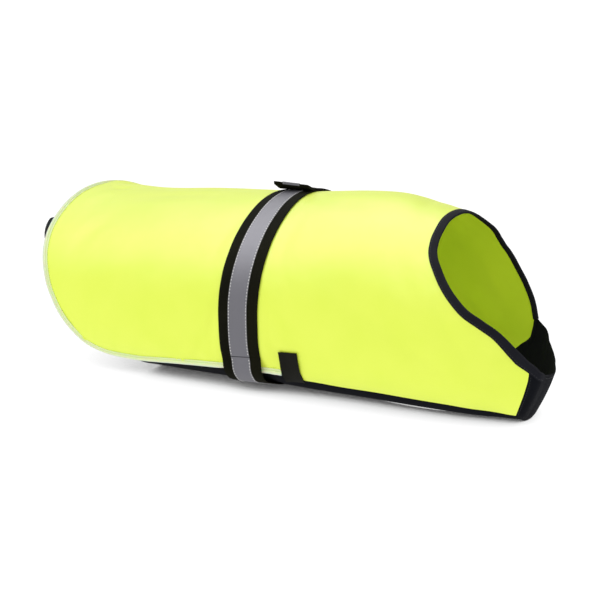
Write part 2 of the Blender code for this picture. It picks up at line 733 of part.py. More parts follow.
def make_belts():
    """Webbing over the back, and the longer piece under the belly that closes on top of it."""
    join_gap = math.degrees(0.5 * BUTT_GAP / BELT_JOIN_RADIUS)
    back_angles = spread(BELT_JOIN_ANGLE + join_gap, BACK_BELT_END, 44)
    belly_angles = spread(BELT_JOIN_ANGLE - join_gap, BELLY_BELT[-1].angle, 86)
    add_skin_wall("back_belt", strip_marks(back_angles, BELT_WIDTH, 4), back_belt_layer,
                  lambda mark: back_belt_layer(mark) + WEBBING, BLACK_WEBBING)
    add_skin_wall("belly_belt", strip_marks(belly_angles, BELT_WIDTH, 4), belly_belt_layer,
                  lambda mark: belly_belt_layer(mark) + WEBBING, BLACK_WEBBING)
    under_tape = WEBBING + SEAM_GAP
    tapes = (
        ("back_belt_tape", back_angles, BELT_JOIN_ANGLE, BACK_TAPE_END, back_belt_layer),
        ("belly_belt_tape_right", belly_angles, RIGHT_TAPE_END, BELT_JOIN_ANGLE,
         belly_belt_layer),
        ("belly_belt_tape_left", belly_angles, BELLY_BELT[-1].angle, LEFT_TAPE_START,
         belly_belt_layer),
    )
    for name, angles, low, high, layer in tapes:
        marks = strip_marks([angle for angle in angles if low <= angle <= high], TAPE_WIDTH, 2)
        add_skin_wall(name, marks, lambda mark, layer=layer: layer(mark) + under_tape,
                      lambda mark, layer=layer: layer(mark) + under_tape + TAPE,
                      REFLECTIVE_GREY)


def make_label(steps_across=3, steps_down=8):
    """Plain woven label sewn into the right lower edge where the piping ends."""
    marks = []
    for i in range(steps_down + 1):
        angle = LABEL_ANGLES[1] + (LABEL_ANGLES[0] - LABEL_ANGLES[1]) * i / steps_down
        marks.append([Mark(LABEL_X[0] + (LABEL_X[1] - LABEL_X[0]) * k / steps_across, angle)
                      for k in range(steps_across + 1)])
    layer = CLOTH + SEAM_GAP
    add_skin_wall("side_label", marks, lambda mark: layer,
                  lambda mark: layer + LABEL_THICKNESS, WOVEN_LABEL)


def tail_strap_line(steps, tuck_steps):
    """Return the tail strap's middle line and which way its width lies at each point."""
    hem_x = smooth_line([(mark.angle, mark.x) for mark in TAIL_EDGE])(-TAIL_STRAP_ANGLE)
    _, around = body_slopes(hem_x, -TAIL_STRAP_ANGLE)
    slope = around.normalized()
    line, widths = [], []
    for i in range(tuck_steps):
        out = i / tuck_steps
        layer = TAIL_STRAP_LAYER[0] + (TAIL_STRAP_LAYER[1] - TAIL_STRAP_LAYER[0]) * out
        x = hem_x + TAIL_STRAP_TUCK * (1.0 - out)
        line.append(skin(x, -TAIL_STRAP_ANGLE, layer))
        widths.append(slope)
    anchor = skin(hem_x, -TAIL_STRAP_ANGLE, TAIL_STRAP_LAYER[1])
    for i in range(steps // 2 + 1):
        turn = 0.5 * math.pi * (2.0 * i / steps - 1.0)
        bow = math.cos(turn)
        line.append(Vector((hem_x - TAIL_STRAP_BOW * bow, -anchor.y * math.sin(turn),
                            anchor.z - TAIL_STRAP_DROP * bow)))
        widths.append(slope.lerp(Vector((0.0, 0.0, 1.0)), bow))
    other_side = Vector((1.0, -1.0, 1.0))
    line += [point * other_side for point in reversed(line[:-1])]
    widths += [width * other_side for width in reversed(widths[:-1])]
    return line, widths


def make_tail_strap(steps=24, tuck_steps=3, across_steps=2):
    """Elastic strap that bows behind the tail edge, from one side's inner face to the other's."""
    line, widths = tail_strap_line(steps, tuck_steps)
    inner, outer = [], []
    for i, point in enumerate(line):
        along = (line[min(i + 1, len(line) - 1)] - line[max(i - 1, 0)]).normalized()
        width = (widths[i] - along * widths[i].dot(along)).normalized()
        outward = along.cross(width)
        spots = [point + width * TAIL_STRAP_WIDTH * (k / across_steps - 0.5)
                 for k in range(across_steps + 1)]
        inner.append([spot - outward * 0.5 * TAIL_STRAP_THICKNESS for spot in spots])
        outer.append([spot + outward * 0.5 * TAIL_STRAP_THICKNESS for spot in spots])
    add_wall("tail_strap", inner, outer, BLACK_WEBBING)


def main():
    """Build the vest from its cut pieces."""
    for thing in list(bpy.data.objects):
        bpy.data.objects.remove(thing, do_unlink=True)
    make_back_panel()
    make_under_panel()
    make_chest_band()
    make_neck_binding()
    make_light_piping()
    make_belts()
    make_label()
    make_tail_strap()


main()
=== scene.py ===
"""Looks of a light-up safety vest for a dog, filled out as if worn and standing on the floor.

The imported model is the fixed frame. Each cloth piece here is a thin shell on the form of its
solid, laid out in the same ring coordinates: x runs along the back from the middle of the
belt, and the angle goes round the body from the spine, 0, down the right side to -180 under
the belly and on to -360. A layer is a distance out from the body.
"""

from __future__ import annotations

import sys

import logging
import math
from dataclasses import dataclass
from enum import Enum
from typing import Any, Callable, Mapping, NamedTuple, Optional, Sequence, Union

import bpy
import numpy as np
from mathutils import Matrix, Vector
from mathutils.kdtree import KDTree


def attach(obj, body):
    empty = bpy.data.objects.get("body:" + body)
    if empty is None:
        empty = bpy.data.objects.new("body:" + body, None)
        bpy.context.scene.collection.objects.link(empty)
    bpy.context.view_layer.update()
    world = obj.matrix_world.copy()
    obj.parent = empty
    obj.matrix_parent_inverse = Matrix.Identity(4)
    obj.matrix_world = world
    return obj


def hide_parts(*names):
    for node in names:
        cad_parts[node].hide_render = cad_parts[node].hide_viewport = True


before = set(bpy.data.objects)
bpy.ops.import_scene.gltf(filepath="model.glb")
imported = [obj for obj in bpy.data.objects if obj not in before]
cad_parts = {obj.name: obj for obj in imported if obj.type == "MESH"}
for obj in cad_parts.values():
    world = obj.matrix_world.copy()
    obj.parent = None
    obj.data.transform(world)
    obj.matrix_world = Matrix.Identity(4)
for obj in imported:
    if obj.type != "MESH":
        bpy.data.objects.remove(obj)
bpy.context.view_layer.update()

LOG = logging.getLogger("vest")
Array = np.ndarray
Colour = tuple[float, float, float]
Face = tuple[int, ...]

MM = 0.001
BODY_NAME = "root"
FRAME_SHIFT = np.array([0.01568, 0.0, 0.0])     # from the middle of the belt to the frame's origin
CLOTH_ATTRIBUTE = "cloth"


# The form of the vest.


class Section(NamedTuple):
    """A section of the body across the back."""

    x: float
    half_width: float
    height: float
    sideways: float
    squareness: float


class Mark(NamedTuple):
    """A place in ring coordinates, metres and degrees."""

    x: float
    angle: float


class Dent(NamedTuple):
    """A soft hollow in the sides."""

    x: float
    angle: float
    depth: float
    reach: float
    turn: float


class Crease(NamedTuple):
    """A soft trough, or a ridge where its depth is negative."""

    x: float
    angle: float
    length: float
    width: float
    depth: float
    slant: float            # 0 runs along the back, 90 round the body


class Side(Enum):
    """A side of the wearer."""

    RIGHT = 0
    LEFT = 1


def table(kind: type, *rows: tuple[float, ...]) -> tuple[Any, ...]:
    """Return a table's rows as named tuples of one kind."""
    return tuple(kind(*row) for row in rows)


SECTIONS = table(
    Section,
    (-0.260, 0.1247, 0.1730, 0.000, 3.5), (-0.190, 0.1236, 0.1702, 0.000, 3.5),
    (-0.100, 0.1164, 0.1749, 0.000, 3.5), (0.000, 0.1050, 0.1782, 0.000, 3.5),
    (0.100, 0.0888, 0.1845, -0.003, 3.5), (0.200, 0.0689, 0.1675, -0.010, 3.2),
    (0.262, 0.0447, 0.1600, -0.012, 2.8),
)
WIDEST_LEVEL = 0.46         # where a section is widest, as a share of its height
BACK_ROUNDNESS = 2.0
FLOOR_PRESS = 0.0008        # how far the floor flattens the underside
SEAM_GAP = 0.0003
TUCK_GAP = 0.0010
BUTT_GAP = 0.0001
CLOTH = 0.0012              # the solid's wall, whose outer face the cloth keeps
WEBBING = 0.0012
BELT_WIDTH = 0.0395
TAPE_WIDTH = 0.0190
BELT_BED = 0.022            # half the length of the flat that the belt lies in
BELT_BED_RAMP = 0.008
CHEST_ARCH = 0.0032
CHEST_ARCH_X = (0.020, 0.246)
CHEST_ARCH_RAMP = 0.026
PANEL_TUCK = 6.0            # degrees that the under panel goes on inside the back panel
PIPING_END = 0.0364

TAIL_EDGE = table(
    Mark,
    (-0.1180, -119.1), (-0.1374, -118.3), (-0.1559, -116.9), (-0.1722, -113.6), (-0.1883, -107.0),
    (-0.2047, -98.4), (-0.2152, -89.6), (-0.2229, -80.9), (-0.2304, -71.8), (-0.2364, -61.2),
    (-0.2407, -47.2), (-0.2440, -35.0), (-0.2470, -20.0), (-0.2485, 0.0),
)
RIGHT_LOWER_EDGE = table(
    Mark,
    (-0.1180, -119.1), (-0.0730, -118.4), (-0.0200, -118.4), (0.0210, -120.1), (0.0345, -121.2),
    (0.0524, -127.4), (0.0679, -129.0), (0.0986, -132.2), (0.1400, -134.2), (0.1868, -137.4),
    (0.2130, -142.3), (0.2445, -149.6),
)
LEFT_LOWER_EDGE = table(
    Mark,
    (-0.1180, 119.1), (0.0000, 118.8), (0.1000, 123.0), (0.2040, 131.0),
)
RIGHT_CHEST_EDGE = table(
    Mark,
    (0.2445, -149.6), (0.2495, -140.2), (0.2536, -131.0), (0.2567, -118.0), (0.2570, -107.0),
)
NECK_EDGE = table(
    Mark,
    (0.2570, -107.0), (0.2458, -93.8), (0.2332, -81.1), (0.2208, -74.7), (0.2078, -69.4),
    (0.1963, -62.3), (0.1880, -56.0), (0.1803, -48.8), (0.1743, -42.4), (0.1714, -37.0),
    (0.1703, -28.6), (0.1706, -18.0), (0.1722, -8.0), (0.1748, 3.0), (0.1789, 16.7), (0.1890, 28.6),
    (0.1934, 39.0), (0.1998, 46.5), (0.2067, 56.0), (0.2146, 66.4), (0.2222, 79.4), (0.2268, 94.5),
)
LEFT_CHEST_EDGE = table(
    Mark,
    (0.2268, 94.5), (0.2238, 111.0), (0.2140, 122.0), (0.2040, 131.0),
)
PANEL_FRONT = table(
    Mark,
    (0.2400, -120.0), (0.2425, -135.0), (0.2445, -149.6), (0.2470, -162.0), (0.2482, -172.0),
    (0.2465, -186.0), (0.2415, -198.0), (0.2290, -212.0), (0.2035, -229.0), (0.1985, -240.0),
)
DENTS = table(
    Dent,
    (-0.050, -101.0, 0.0022, 0.022, 13.0), (0.036, -114.0, 0.0022, 0.013, 7.0),
    (-0.046, 102.0, 0.0020, 0.024, 13.0), (0.040, 108.0, 0.0018, 0.015, 8.0),
    (0.150, -88.0, 0.0014, 0.030, 10.0), (0.228, -112.0, -0.0012, 0.018, 9.0),
)


def ease(part: Array | float) -> Array:
    """Go smoothly from 0 to 1."""
    part = np.clip(part, 0.0, 1.0)
    return part * part * (3.0 - 2.0 * part)


def at(x: Array | float, angle: Array | float) -> Array:
    """Join places along the back and angles to an array of marks."""
    return np.stack(np.broadcast_arrays(np.asarray(x, float), np.asarray(angle, float)), -1)


def cloth_places(along: Array, across: Array) -> Array:
    """Return cloth coordinates from distances along and across the cloth."""
    return np.stack(np.broadcast_arrays(along, across, 0.0), -1)


def half_turn(angle: Array) -> Array:
    """Return angles as between -180 and 180 degrees."""
    return (angle + 180.0) % 360.0 - 180.0


def unit(vectors: Array) -> Array:
    """Give vectors the length 1."""
    return vectors / np.maximum(np.linalg.norm(vectors, axis=-1, keepdims=True), 1e-12)


def arc(points: Array) -> Array:
    """Return the length walked along the first axis at each point."""
    steps = np.linalg.norm(np.diff(points, axis=0), axis=-1)
    return np.concatenate([np.zeros_like(steps[:1]), np.cumsum(steps, axis=0)])


def joined(*runs: Array) -> Array:
    """Join runs of values end to end, leaving out the value that they share."""
    return np.concatenate([runs[0], *[run[1:] for run in runs[1:]]])


def even_parts(count: int) -> Array:
    """Return evenly spaced parts of the way, from 0 to 1."""
    return np.linspace(0.0, 1.0, count)


def on_floor(points: Array) -> Array:
    """Lift what lies below the floor on to it."""
    points[..., 2] = np.maximum(points[..., 2], 0.0)
    return points


class SmoothLine:
    """A curve through (place, value) points that never overshoots them."""

    def __init__(self, points: Sequence[Sequence[float]] | Array) -> None:
        """Work out the slope at each point.

        Args:
            points: Places, rising, and their values.
        """
        self.places, self.values = np.array(points, float).T
        slopes = np.diff(self.values) / np.diff(self.places)
        before, after = slopes[:-1], slopes[1:]
        turning = before * after <= 0.0
        between = 2.0 * before * after / np.where(turning, 1.0, before + after)
        inner = np.where(turning, 0.0, between)
        self.slopes = np.concatenate([slopes[:1], inner, slopes[-1:]])

    def __call__(self, place: Array | float) -> Array:
        """Read the line, which goes straight on beyond its ends.

        Args:
            place: Places to read it at.

        Returns:
            The values there.
        """
        place = np.asarray(place, float)
        last = len(self.places) - 2
        row = np.clip(np.searchsorted(self.places, place, side="right") - 1, 0, last)
        step = self.places[row + 1] - self.places[row]
        whole = (place - self.places[row]) / step
        part = np.clip(whole, 0.0, 1.0)
        rest = 1.0 - part
        value = (1.0 + 2.0 * part) * rest ** 2 * self.values[row]
        value += part ** 2 * (3.0 - 2.0 * part) * self.values[row + 1]
        value += part * rest * step * (rest * self.slopes[row] - part * self.slopes[row + 1])
        beyond = np.where(whole < 0.0, self.slopes[0], self.slopes[-1])
        return value + beyond * (whole - part) * step


class Body:
    """The smooth form that the vest is filled out to."""

    def __init__(self) -> None:
        """Lay smooth lines through the sections and the lower edges."""
        sections = np.array(SECTIONS)
        self.half_width, self.height, self.sideways, self.squareness = (
            SmoothLine(sections[:, [0, column]]) for column in (1, 2, 3, 4))
        self.right_lower, self.left_lower = SmoothLine(RIGHT_LOWER_EDGE), SmoothLine(LEFT_LOWER_EDGE)

    @staticmethod
    def chest_arch(x: Array) -> Array:
        """Return the share of the arch under the chest at places along the back."""
        rise = ease((x - CHEST_ARCH_X[0]) / CHEST_ARCH_RAMP)
        return rise * ease((CHEST_ARCH_X[1] - x) / CHEST_ARCH_RAMP)

    def underside(self, x: Array) -> Array:
        """Return the lowest level of the body at places along the back."""
        over_belt = 1.0 - ease((np.abs(x) - BELT_BED) / BELT_BED_RAMP)
        return -SEAM_GAP + (WEBBING + SEAM_GAP) * over_belt + CHEST_ARCH * self.chest_arch(x)

    def point(self, marks: Array) -> Array:
        """Return the body's points at marks.

        Args:
            marks: Places along the back and angles, in the last axis.

        Returns:
            Points in metres from the middle of the belt, in the last axis.
        """
        x, angle = marks[..., 0], marks[..., 1]
        across, up = np.sin(np.radians(angle)), np.cos(np.radians(angle))
        width, height, floor = self.half_width(x), self.height(x), self.underside(x)
        middle = WIDEST_LEVEL * height
        over = up > 0.0
        power = np.where(over, BACK_ROUNDNESS, self.squareness(x))
        reach = np.where(over, height - middle, middle - floor + FLOOR_PRESS)
        radius = (np.abs(across / width) ** power + np.abs(up / reach) ** power) ** (-1.0 / power)
        around = half_turn(angle)
        for dent in DENTS:
            off = ((x - dent.x) / dent.reach) ** 2 + ((around - dent.angle) / dent.turn) ** 2
            radius = radius - dent.depth * np.exp(-off)
        level = np.maximum(middle + radius * up, floor)
        return np.stack([x, self.sideways(x) + radius * across, level], -1)

    def slopes(self, marks: Array) -> tuple[Array, Array]:
        """Return which ways the body's surface runs.

        Args:
            marks: Marks to look at.

        Returns:
            How its point moves per metre along the back, and per degree of turn.
        """
        step_x, step_angle = np.array([0.001, 0.0]), np.array([0.0, 0.5])
        along = (self.point(marks + step_x) - self.point(marks - step_x)) / (2 * step_x[0])
        around = self.point(marks + step_angle) - self.point(marks - step_angle)
        return along, around / (2 * step_angle[1])

    def outward(self, marks: Array) -> Array:
        """Return the directions straight out from the body.

        Args:
            marks: Marks to look at.

        Returns:
            Vectors of length 1.
        """
        out = unit(np.cross(*self.slopes(marks)))
        x = marks[..., 0]
        axis = np.stack([x, self.sideways(x), WIDEST_LEVEL * self.height(x)], -1)
        facing = ((self.point(marks) - axis) * out).sum(-1, keepdims=True)
        return np.where(facing < 0.0, -out, out)

    def skin(self, marks: Array, layer: Array | float = 0.0) -> Array:
        """Return the points that lie a layer out from the body at marks."""
        return on_floor(self.point(marks) + self.outward(marks) * np.asarray(layer)[..., None])


BODY = Body()
FOOT_START, FOOT_END = RIGHT_CHEST_EDGE[0].angle, LEFT_CHEST_EDGE[-1].angle - 360.0
PANEL_FRONT_AT = SmoothLine([(-mark.angle, mark.x) for mark in PANEL_FRONT])


class Track:
    """A smooth line of marks, walked by its own length from 0 to 1."""

    def __init__(self, marks: Sequence[Mark]) -> None:
        """Measure the line of marks.

        Args:
            marks: Marks along an edge, in order.
        """
        places = np.array(marks, float)
        lengths = arc(BODY.point(places))
        parts = lengths / lengths[-1]
        self.x_at, self.angle_at = (SmoothLine(np.stack([parts, column], -1)) for column in places.T)

    def marks(self, parts: Array | float) -> Array:
        """Return the marks at parts of the way along."""
        return at(self.x_at(parts), self.angle_at(parts))


def mirrored(marks: Sequence[Mark]) -> tuple[Mark, ...]:
    """Return the marks of the other side, in the opposite order."""
    return tuple(Mark(mark.x, -mark.angle) for mark in reversed(marks))


WHOLE_TAIL_EDGE = TAIL_EDGE + mirrored(TAIL_EDGE)[1:]


def piped_edge(limit: float) -> list[Mark]:
    """Return the marks of the edge that carries the light tube.

    Args:
        limit: How far forward the marks go at each side.

    Returns:
        Marks from the right side round the tail to the left one.
    """
    right, left = ([mark for mark in edge if mark.x < limit]
                   for edge in (RIGHT_LOWER_EDGE, LEFT_LOWER_EDGE))
    return [*reversed(right), *WHOLE_TAIL_EDGE[1:], *left[1:]]


def inward_steps(marks: Array, window: int) -> Array:
    """Return the x and angle that lead one metre in from each mark of an edge to the belt.

    Args:
        marks: The edge's marks in order.
        window: How many marks to each side give the edge's direction.

    Returns:
        A step in ring coordinates for each mark.
    """
    points = BODY.point(marks)
    along, around = BODY.slopes(marks)
    numbers = np.arange(len(marks))
    after, before = np.minimum(numbers + window, numbers[-1]), np.maximum(numbers - window, 0)
    across = unit(np.cross(np.cross(along, around), points[after] - points[before]))
    aa, ab, bb = (along * along).sum(-1), (along * around).sum(-1), (around * around).sum(-1)
    ca, cb = (across * along).sum(-1), (across * around).sum(-1)
    steps = at(ca * bb - cb * ab, cb * aa - ca * ab) / (aa * bb - ab * ab)[:, None]
    to_middle = along * -marks[:, :1] + around * -marks[:, 1:]
    return steps * np.where((across * to_middle).sum(-1) > 0.0, 1.0, -1.0)[:, None]


class ChestForm:
    """The chest band's inner face, between the back panel's two chest edges."""

    RIGHT_RIM = table(Mark, (0.2612, -111.0), (0.2650, -115.8))
    RIM = (
        (0.2675, -0.027, 0.0455),
        (0.2620, -0.006, 0.0490),
        (0.2540, 0.011, 0.0530),
        (0.2455, 0.027, 0.0580),
        (0.2386, 0.0395, 0.0640),
    )
    BULGE = 0.0008
    SEAM_FADE = 4
    STEP = 0.02                 # part of the way that gives the surface's direction

    def __init__(self) -> None:
        """Lay smooth lines along the rim."""
        self.seams = {
            Side.RIGHT: Track(RIGHT_CHEST_EDGE),
            Side.LEFT: Track(tuple(reversed(LEFT_CHEST_EDGE))),
        }
        rim = np.array([
            self.seam_point(Side.RIGHT, 1.0),
            *[BODY.skin(np.array(mark)) for mark in self.RIGHT_RIM],
            *self.RIM,
            self.seam_point(Side.LEFT, 1.0),
        ])
        parts = arc(rim) / arc(rim)[-1]
        self.rim = [SmoothLine(np.stack([parts, axis], -1)) for axis in rim.T]

    def seam_point(self, side: Side, up: Array | float) -> Array:
        """Return the points beside a seam at parts of the way up."""
        return BODY.skin(self.seams[side].marks(up) + np.array([BUTT_GAP, 0.0]))

    @staticmethod
    def foot_point(part: Array) -> Array:
        """Return the points of the foot, which butts against the under panel."""
        angle = FOOT_START + (FOOT_END - FOOT_START) * part
        return BODY.skin(at(PANEL_FRONT_AT(-angle) + BUTT_GAP, angle))

    def plain_point(self, part: Array, up: Array) -> Array:
        """Return points between foot and rim that keep to the seams' curves at each side.

        Args:
            part: Parts of the way from the right seam to the left one.
            up: Parts of the way from foot to rim.

        Returns:
            Points in metres from the middle of the belt.
        """
        foot, rim = self.foot_point(part), np.stack([line(part) for line in self.rim], -1)
        rise = up[..., None]
        points = foot + (rim - foot) * rise
        for side, weight in ((Side.RIGHT, (1.0 - part) ** self.SEAM_FADE),
                             (Side.LEFT, part ** self.SEAM_FADE)):
            start, end = self.seam_point(side, 0.0), self.seam_point(side, 1.0)
            bent = self.seam_point(side, up) - (start + (end - start) * rise)
            points = points + bent * weight[..., None]
        return points

    def point(self, part: Array | float, up: Array | float, layer: Array | float) -> Array:
        """Return the points at a layer out from the bulging surface.

        Args:
            part: Parts of the way from the right seam to the left one.
            up: Parts of the way from foot to rim.
            layer: Distances out.

        Returns:
            Points in metres from the middle of the belt.
        """
        part, up, layer = np.broadcast_arrays(*[np.asarray(v, float) for v in (part, up, layer)])
        start, end = np.maximum(part - self.STEP, 0.0), np.minimum(part + self.STEP, 1.0)
        along = self.plain_point(end, up) - self.plain_point(start, up)
        above = self.plain_point(part, np.minimum(up + self.STEP, 1.0))
        out = unit(np.cross(along, above - self.plain_point(part, up - self.STEP)))
        bulge = self.BULGE * np.sin(math.pi * part) * np.sin(math.pi * np.clip(up, 0.0, 1.0))
        return on_floor(self.plain_point(part, up) + out * (bulge + layer)[..., None])

    def below_rim(self, part: Array, inward: Array | float, layer: Array | float) -> Array:
        """Return points at distances down from the rim.

        Args:
            part: Parts of the way from the right seam to the left one.
            inward: Distances down.
            layer: Distances out.

        Returns:
            Points in metres from the middle of the belt.
        """
        top, foot = np.ones_like(part), np.zeros_like(part)
        height = np.linalg.norm(self.plain_point(part, top) - self.plain_point(part, foot), axis=-1)
        return self.point(part, 1.0 - inward / height, layer)


# Meshes.


def waves(place: Array, length: float, seed: float = 0.0) -> Array:
    """Return an uneven ripple between about -1 and 1 along a line.

    Args:
        place: Distances along the line.
        length: The ripple's usual wavelength.
        seed: Shifts the ripple, so that two lines differ.

    Returns:
        The ripple's height at each place.
    """
    turn = 2.0 * math.pi * place / length
    slow = 0.6 + 0.4 * np.sin(0.173 * turn + 2.1 * seed)
    return slow * (0.62 * np.sin(turn + seed + 1.4 * np.sin(0.31 * turn + seed))
                   + 0.38 * np.sin(1.73 * turn + 4.0 * seed))


def in_scene(name: str, data: bpy.types.ID) -> bpy.types.Object:
    """Make an object in the scene.

    Args:
        name: The object's name.
        data: Its mesh, light or camera.

    Returns:
        The object.
    """
    thing = bpy.data.objects.new(name, data)
    bpy.context.scene.collection.objects.link(thing)
    return thing


class Shape:
    """Collects the points and faces of one piece and makes its object."""

    def __init__(self, name: str) -> None:
        """Start an empty piece.

        Args:
            name: The piece's name.
        """
        self.name = name
        self.points: list[Array] = []
        self.cloth: list[Array] = []
        self.faces: list[Face] = []
        self.slots: list[int] = []
        self.count = 0

    def add_faces(self, faces: Sequence[Sequence[int]], start: int, slot: int = 0) -> None:
        """Add faces between points that are numbered from a start."""
        self.faces += [tuple(start + number for number in face) for face in faces]
        self.slots += [slot] * len(faces)

    def add(self, points: Array, cloth: Array, faces: Sequence[Sequence[int]]) -> None:
        """Add points and the faces between them.

        Args:
            points: The points.
            cloth: Their cloth coordinates.
            faces: The points of each face, numbered among these.
        """
        self.add_faces(faces, self.count)
        self.points.append(points.reshape(-1, 3))
        self.cloth.append(cloth.reshape(-1, 3))
        self.count += len(self.points[-1])

    def add_wall(self, outer: Array, inner: Array, inner_slot: int = 0,
                 keep: Optional[Callable[[int, int], bool]] = None) -> None:
        """Add a closed wall between two grids of points.

        Args:
            outer: Grid of points of the outer face.
            inner: Grid of points of the inner face.
            inner_slot: The inner face's material slot.
            keep: Says for a row and a column whether the cell there is cloth.
        """
        rows, columns = outer.shape[:2]
        lengths = arc(outer.swapaxes(0, 1)).swapaxes(0, 1)
        cloth = cloth_places(arc(outer), lengths - lengths[:, columns // 2][:, None])
        keys = np.round(outer.reshape(-1, 3), 6)
        _, first, same = np.unique(keys, axis=0, return_index=True, return_inverse=True)
        numbers = same.reshape(rows, columns)
        cells = [(numbers[i, j], numbers[i + 1, j], numbers[i + 1, j + 1], numbers[i, j + 1])
                 for i in range(rows - 1) for j in range(columns - 1)
                 if keep is None or keep(i, j)]
        cells = [tuple(dict.fromkeys(int(n) for n in cell)) for cell in cells]
        cells = [cell for cell in cells if len(cell) > 2]
        sides = [(cell[k], cell[(k + 1) % len(cell)]) for cell in cells for k in range(len(cell))]
        known = set(sides)
        rims = [side for side in sides if (side[1], side[0]) not in known]
        total = len(first)
        points = np.concatenate([outer.reshape(-1, 3)[first], inner.reshape(-1, 3)[first]])
        places = np.tile(cloth.reshape(-1, 3)[first], (2, 1))
        places[total:, 2] = 1.0
        start = self.count
        self.add(points, places, cells)
        self.add_faces([[n + total for n in reversed(cell)] for cell in cells], start, inner_slot)
        self.add_faces([(b, a, a + total, b + total) for a, b in rims], start)

    def add_sweep(self, rings: Array, cloth: Array) -> None:
        """Add a solid through a row of closed rings, with a cap at each end.

        Args:
            rings: Points, by ring and by place round it.
            cloth: Their cloth coordinates.
        """
        count, around = rings.shape[:2]
        faces: list[Face] = []
        for start in range(0, (count - 1) * around, around):
            for k in range(around):
                after = (k + 1) % around
                faces.append((start + k, start + around + k, start + around + after, start + after))
        faces.append(tuple(range(around)))
        faces.append(tuple((count - 1) * around + k for k in reversed(range(around))))
        self.add(rings, cloth, faces)

    def make(self, materials: Sequence[bpy.types.Material], sharp: float = 40.0) -> bpy.types.Object:
        """Make the piece's object, in the frame's place.

        Args:
            materials: The materials of its slots.
            sharp: Edges that turn more than this many degrees stay sharp.

        Returns:
            The object, in the scene.
        """
        mesh = bpy.data.meshes.new(self.name)
        points = np.concatenate(self.points) + FRAME_SHIFT
        mesh.from_pydata(points.tolist(), [], self.faces)
        if sum(face.area * face.center.dot(face.normal) for face in mesh.polygons) < 0.0:
            mesh.flip_normals()
        attribute = mesh.attributes.new(CLOTH_ATTRIBUTE, "FLOAT_VECTOR", "POINT")
        attribute.data.foreach_set("vector", np.concatenate(self.cloth).astype(np.float32).ravel())
        mesh.polygons.foreach_set("material_index", self.slots)
        for material in materials:
            mesh.materials.append(material)
        mesh.shade_smooth()
        mesh.set_sharp_from_angle(angle=math.radians(sharp))
        mesh.validate()
        return in_scene(self.name, mesh)


class EdgeField:
    """How far points lie from an edge, and where along it."""

    def __init__(self, points: Array) -> None:
        """Keep the edge.

        Args:
            points: Points close together along the edge.
        """
        self.lengths = arc(points)
        self.tree = KDTree(len(points))
        for number, point in enumerate(points):
            self.tree.insert(point, number)
        self.tree.balance()

    def measure(self, points: Array) -> tuple[Array, Array]:
        """Measure points against the edge.

        Args:
            points: Points anywhere.

        Returns:
            Each one's distance from the edge, and its place along it.
        """
        found = [self.tree.find(point) for point in points.reshape(-1, 3)]
        distance = np.array([hit[2] for hit in found]).reshape(points.shape[:-1])
        place = self.lengths[[hit[1] for hit in found]].reshape(points.shape[:-1])
        return distance, place


def crease_relief(marks: Array, creases: Sequence[Crease]) -> Array:
    """Work out what creases do to the cloth.

    Args:
        marks: Marks to look at.
        creases: The creases.

    Returns:
        How far they lift the cloth at each mark.
    """
    x, around = marks[..., 0], half_turn(marks[..., 1])
    relief = np.zeros(x.shape)
    metres = math.radians(1.0) * BODY.half_width(x)
    for crease in creases:
        along, turn = x - crease.x, (around - crease.angle) * metres
        cos, sin = math.cos(math.radians(crease.slant)), math.sin(math.radians(crease.slant))
        length = (along * cos + turn * sin) / crease.length
        width = (turn * cos - along * sin + 0.12 * crease.length * length ** 2) / crease.width
        relief -= crease.depth * np.exp(-length ** 2 - width ** 2)
    return relief


# Finishes.


def math_method(operation: str, swapped: bool = False) -> Callable[["Value", "Number"], "Value"]:
    """Make an operator for values from a Math node's operation.

    Args:
        operation: The node's operation.
        swapped: Whether the value comes second.

    Returns:
        The method.
    """

    def method(value: "Value", other: "Number") -> "Value":
        """Put the value and another one through the node."""
        pair = (other, value) if swapped else (value, other)
        return value.nodes.add("ShaderNodeMath", {"operation": operation}, {0: pair[0], 1: pair[1]})

    return method


class Value:
    """A shader value that takes part in sums."""

    def __init__(self, nodes: "Nodes", socket: bpy.types.NodeSocket) -> None:
        """Wrap an output socket."""
        self.nodes = nodes
        self.socket = socket

    __add__ = __radd__ = math_method("ADD")
    __sub__ = math_method("SUBTRACT")
    __rsub__ = math_method("SUBTRACT", swapped=True)
    __mul__ = __rmul__ = math_method("MULTIPLY")

    def function(self, operation: str) -> "Value":
        """Return a Math node's function of this value."""
        return math_method(operation)(self, 0.0)


Number = Union[float, Value]


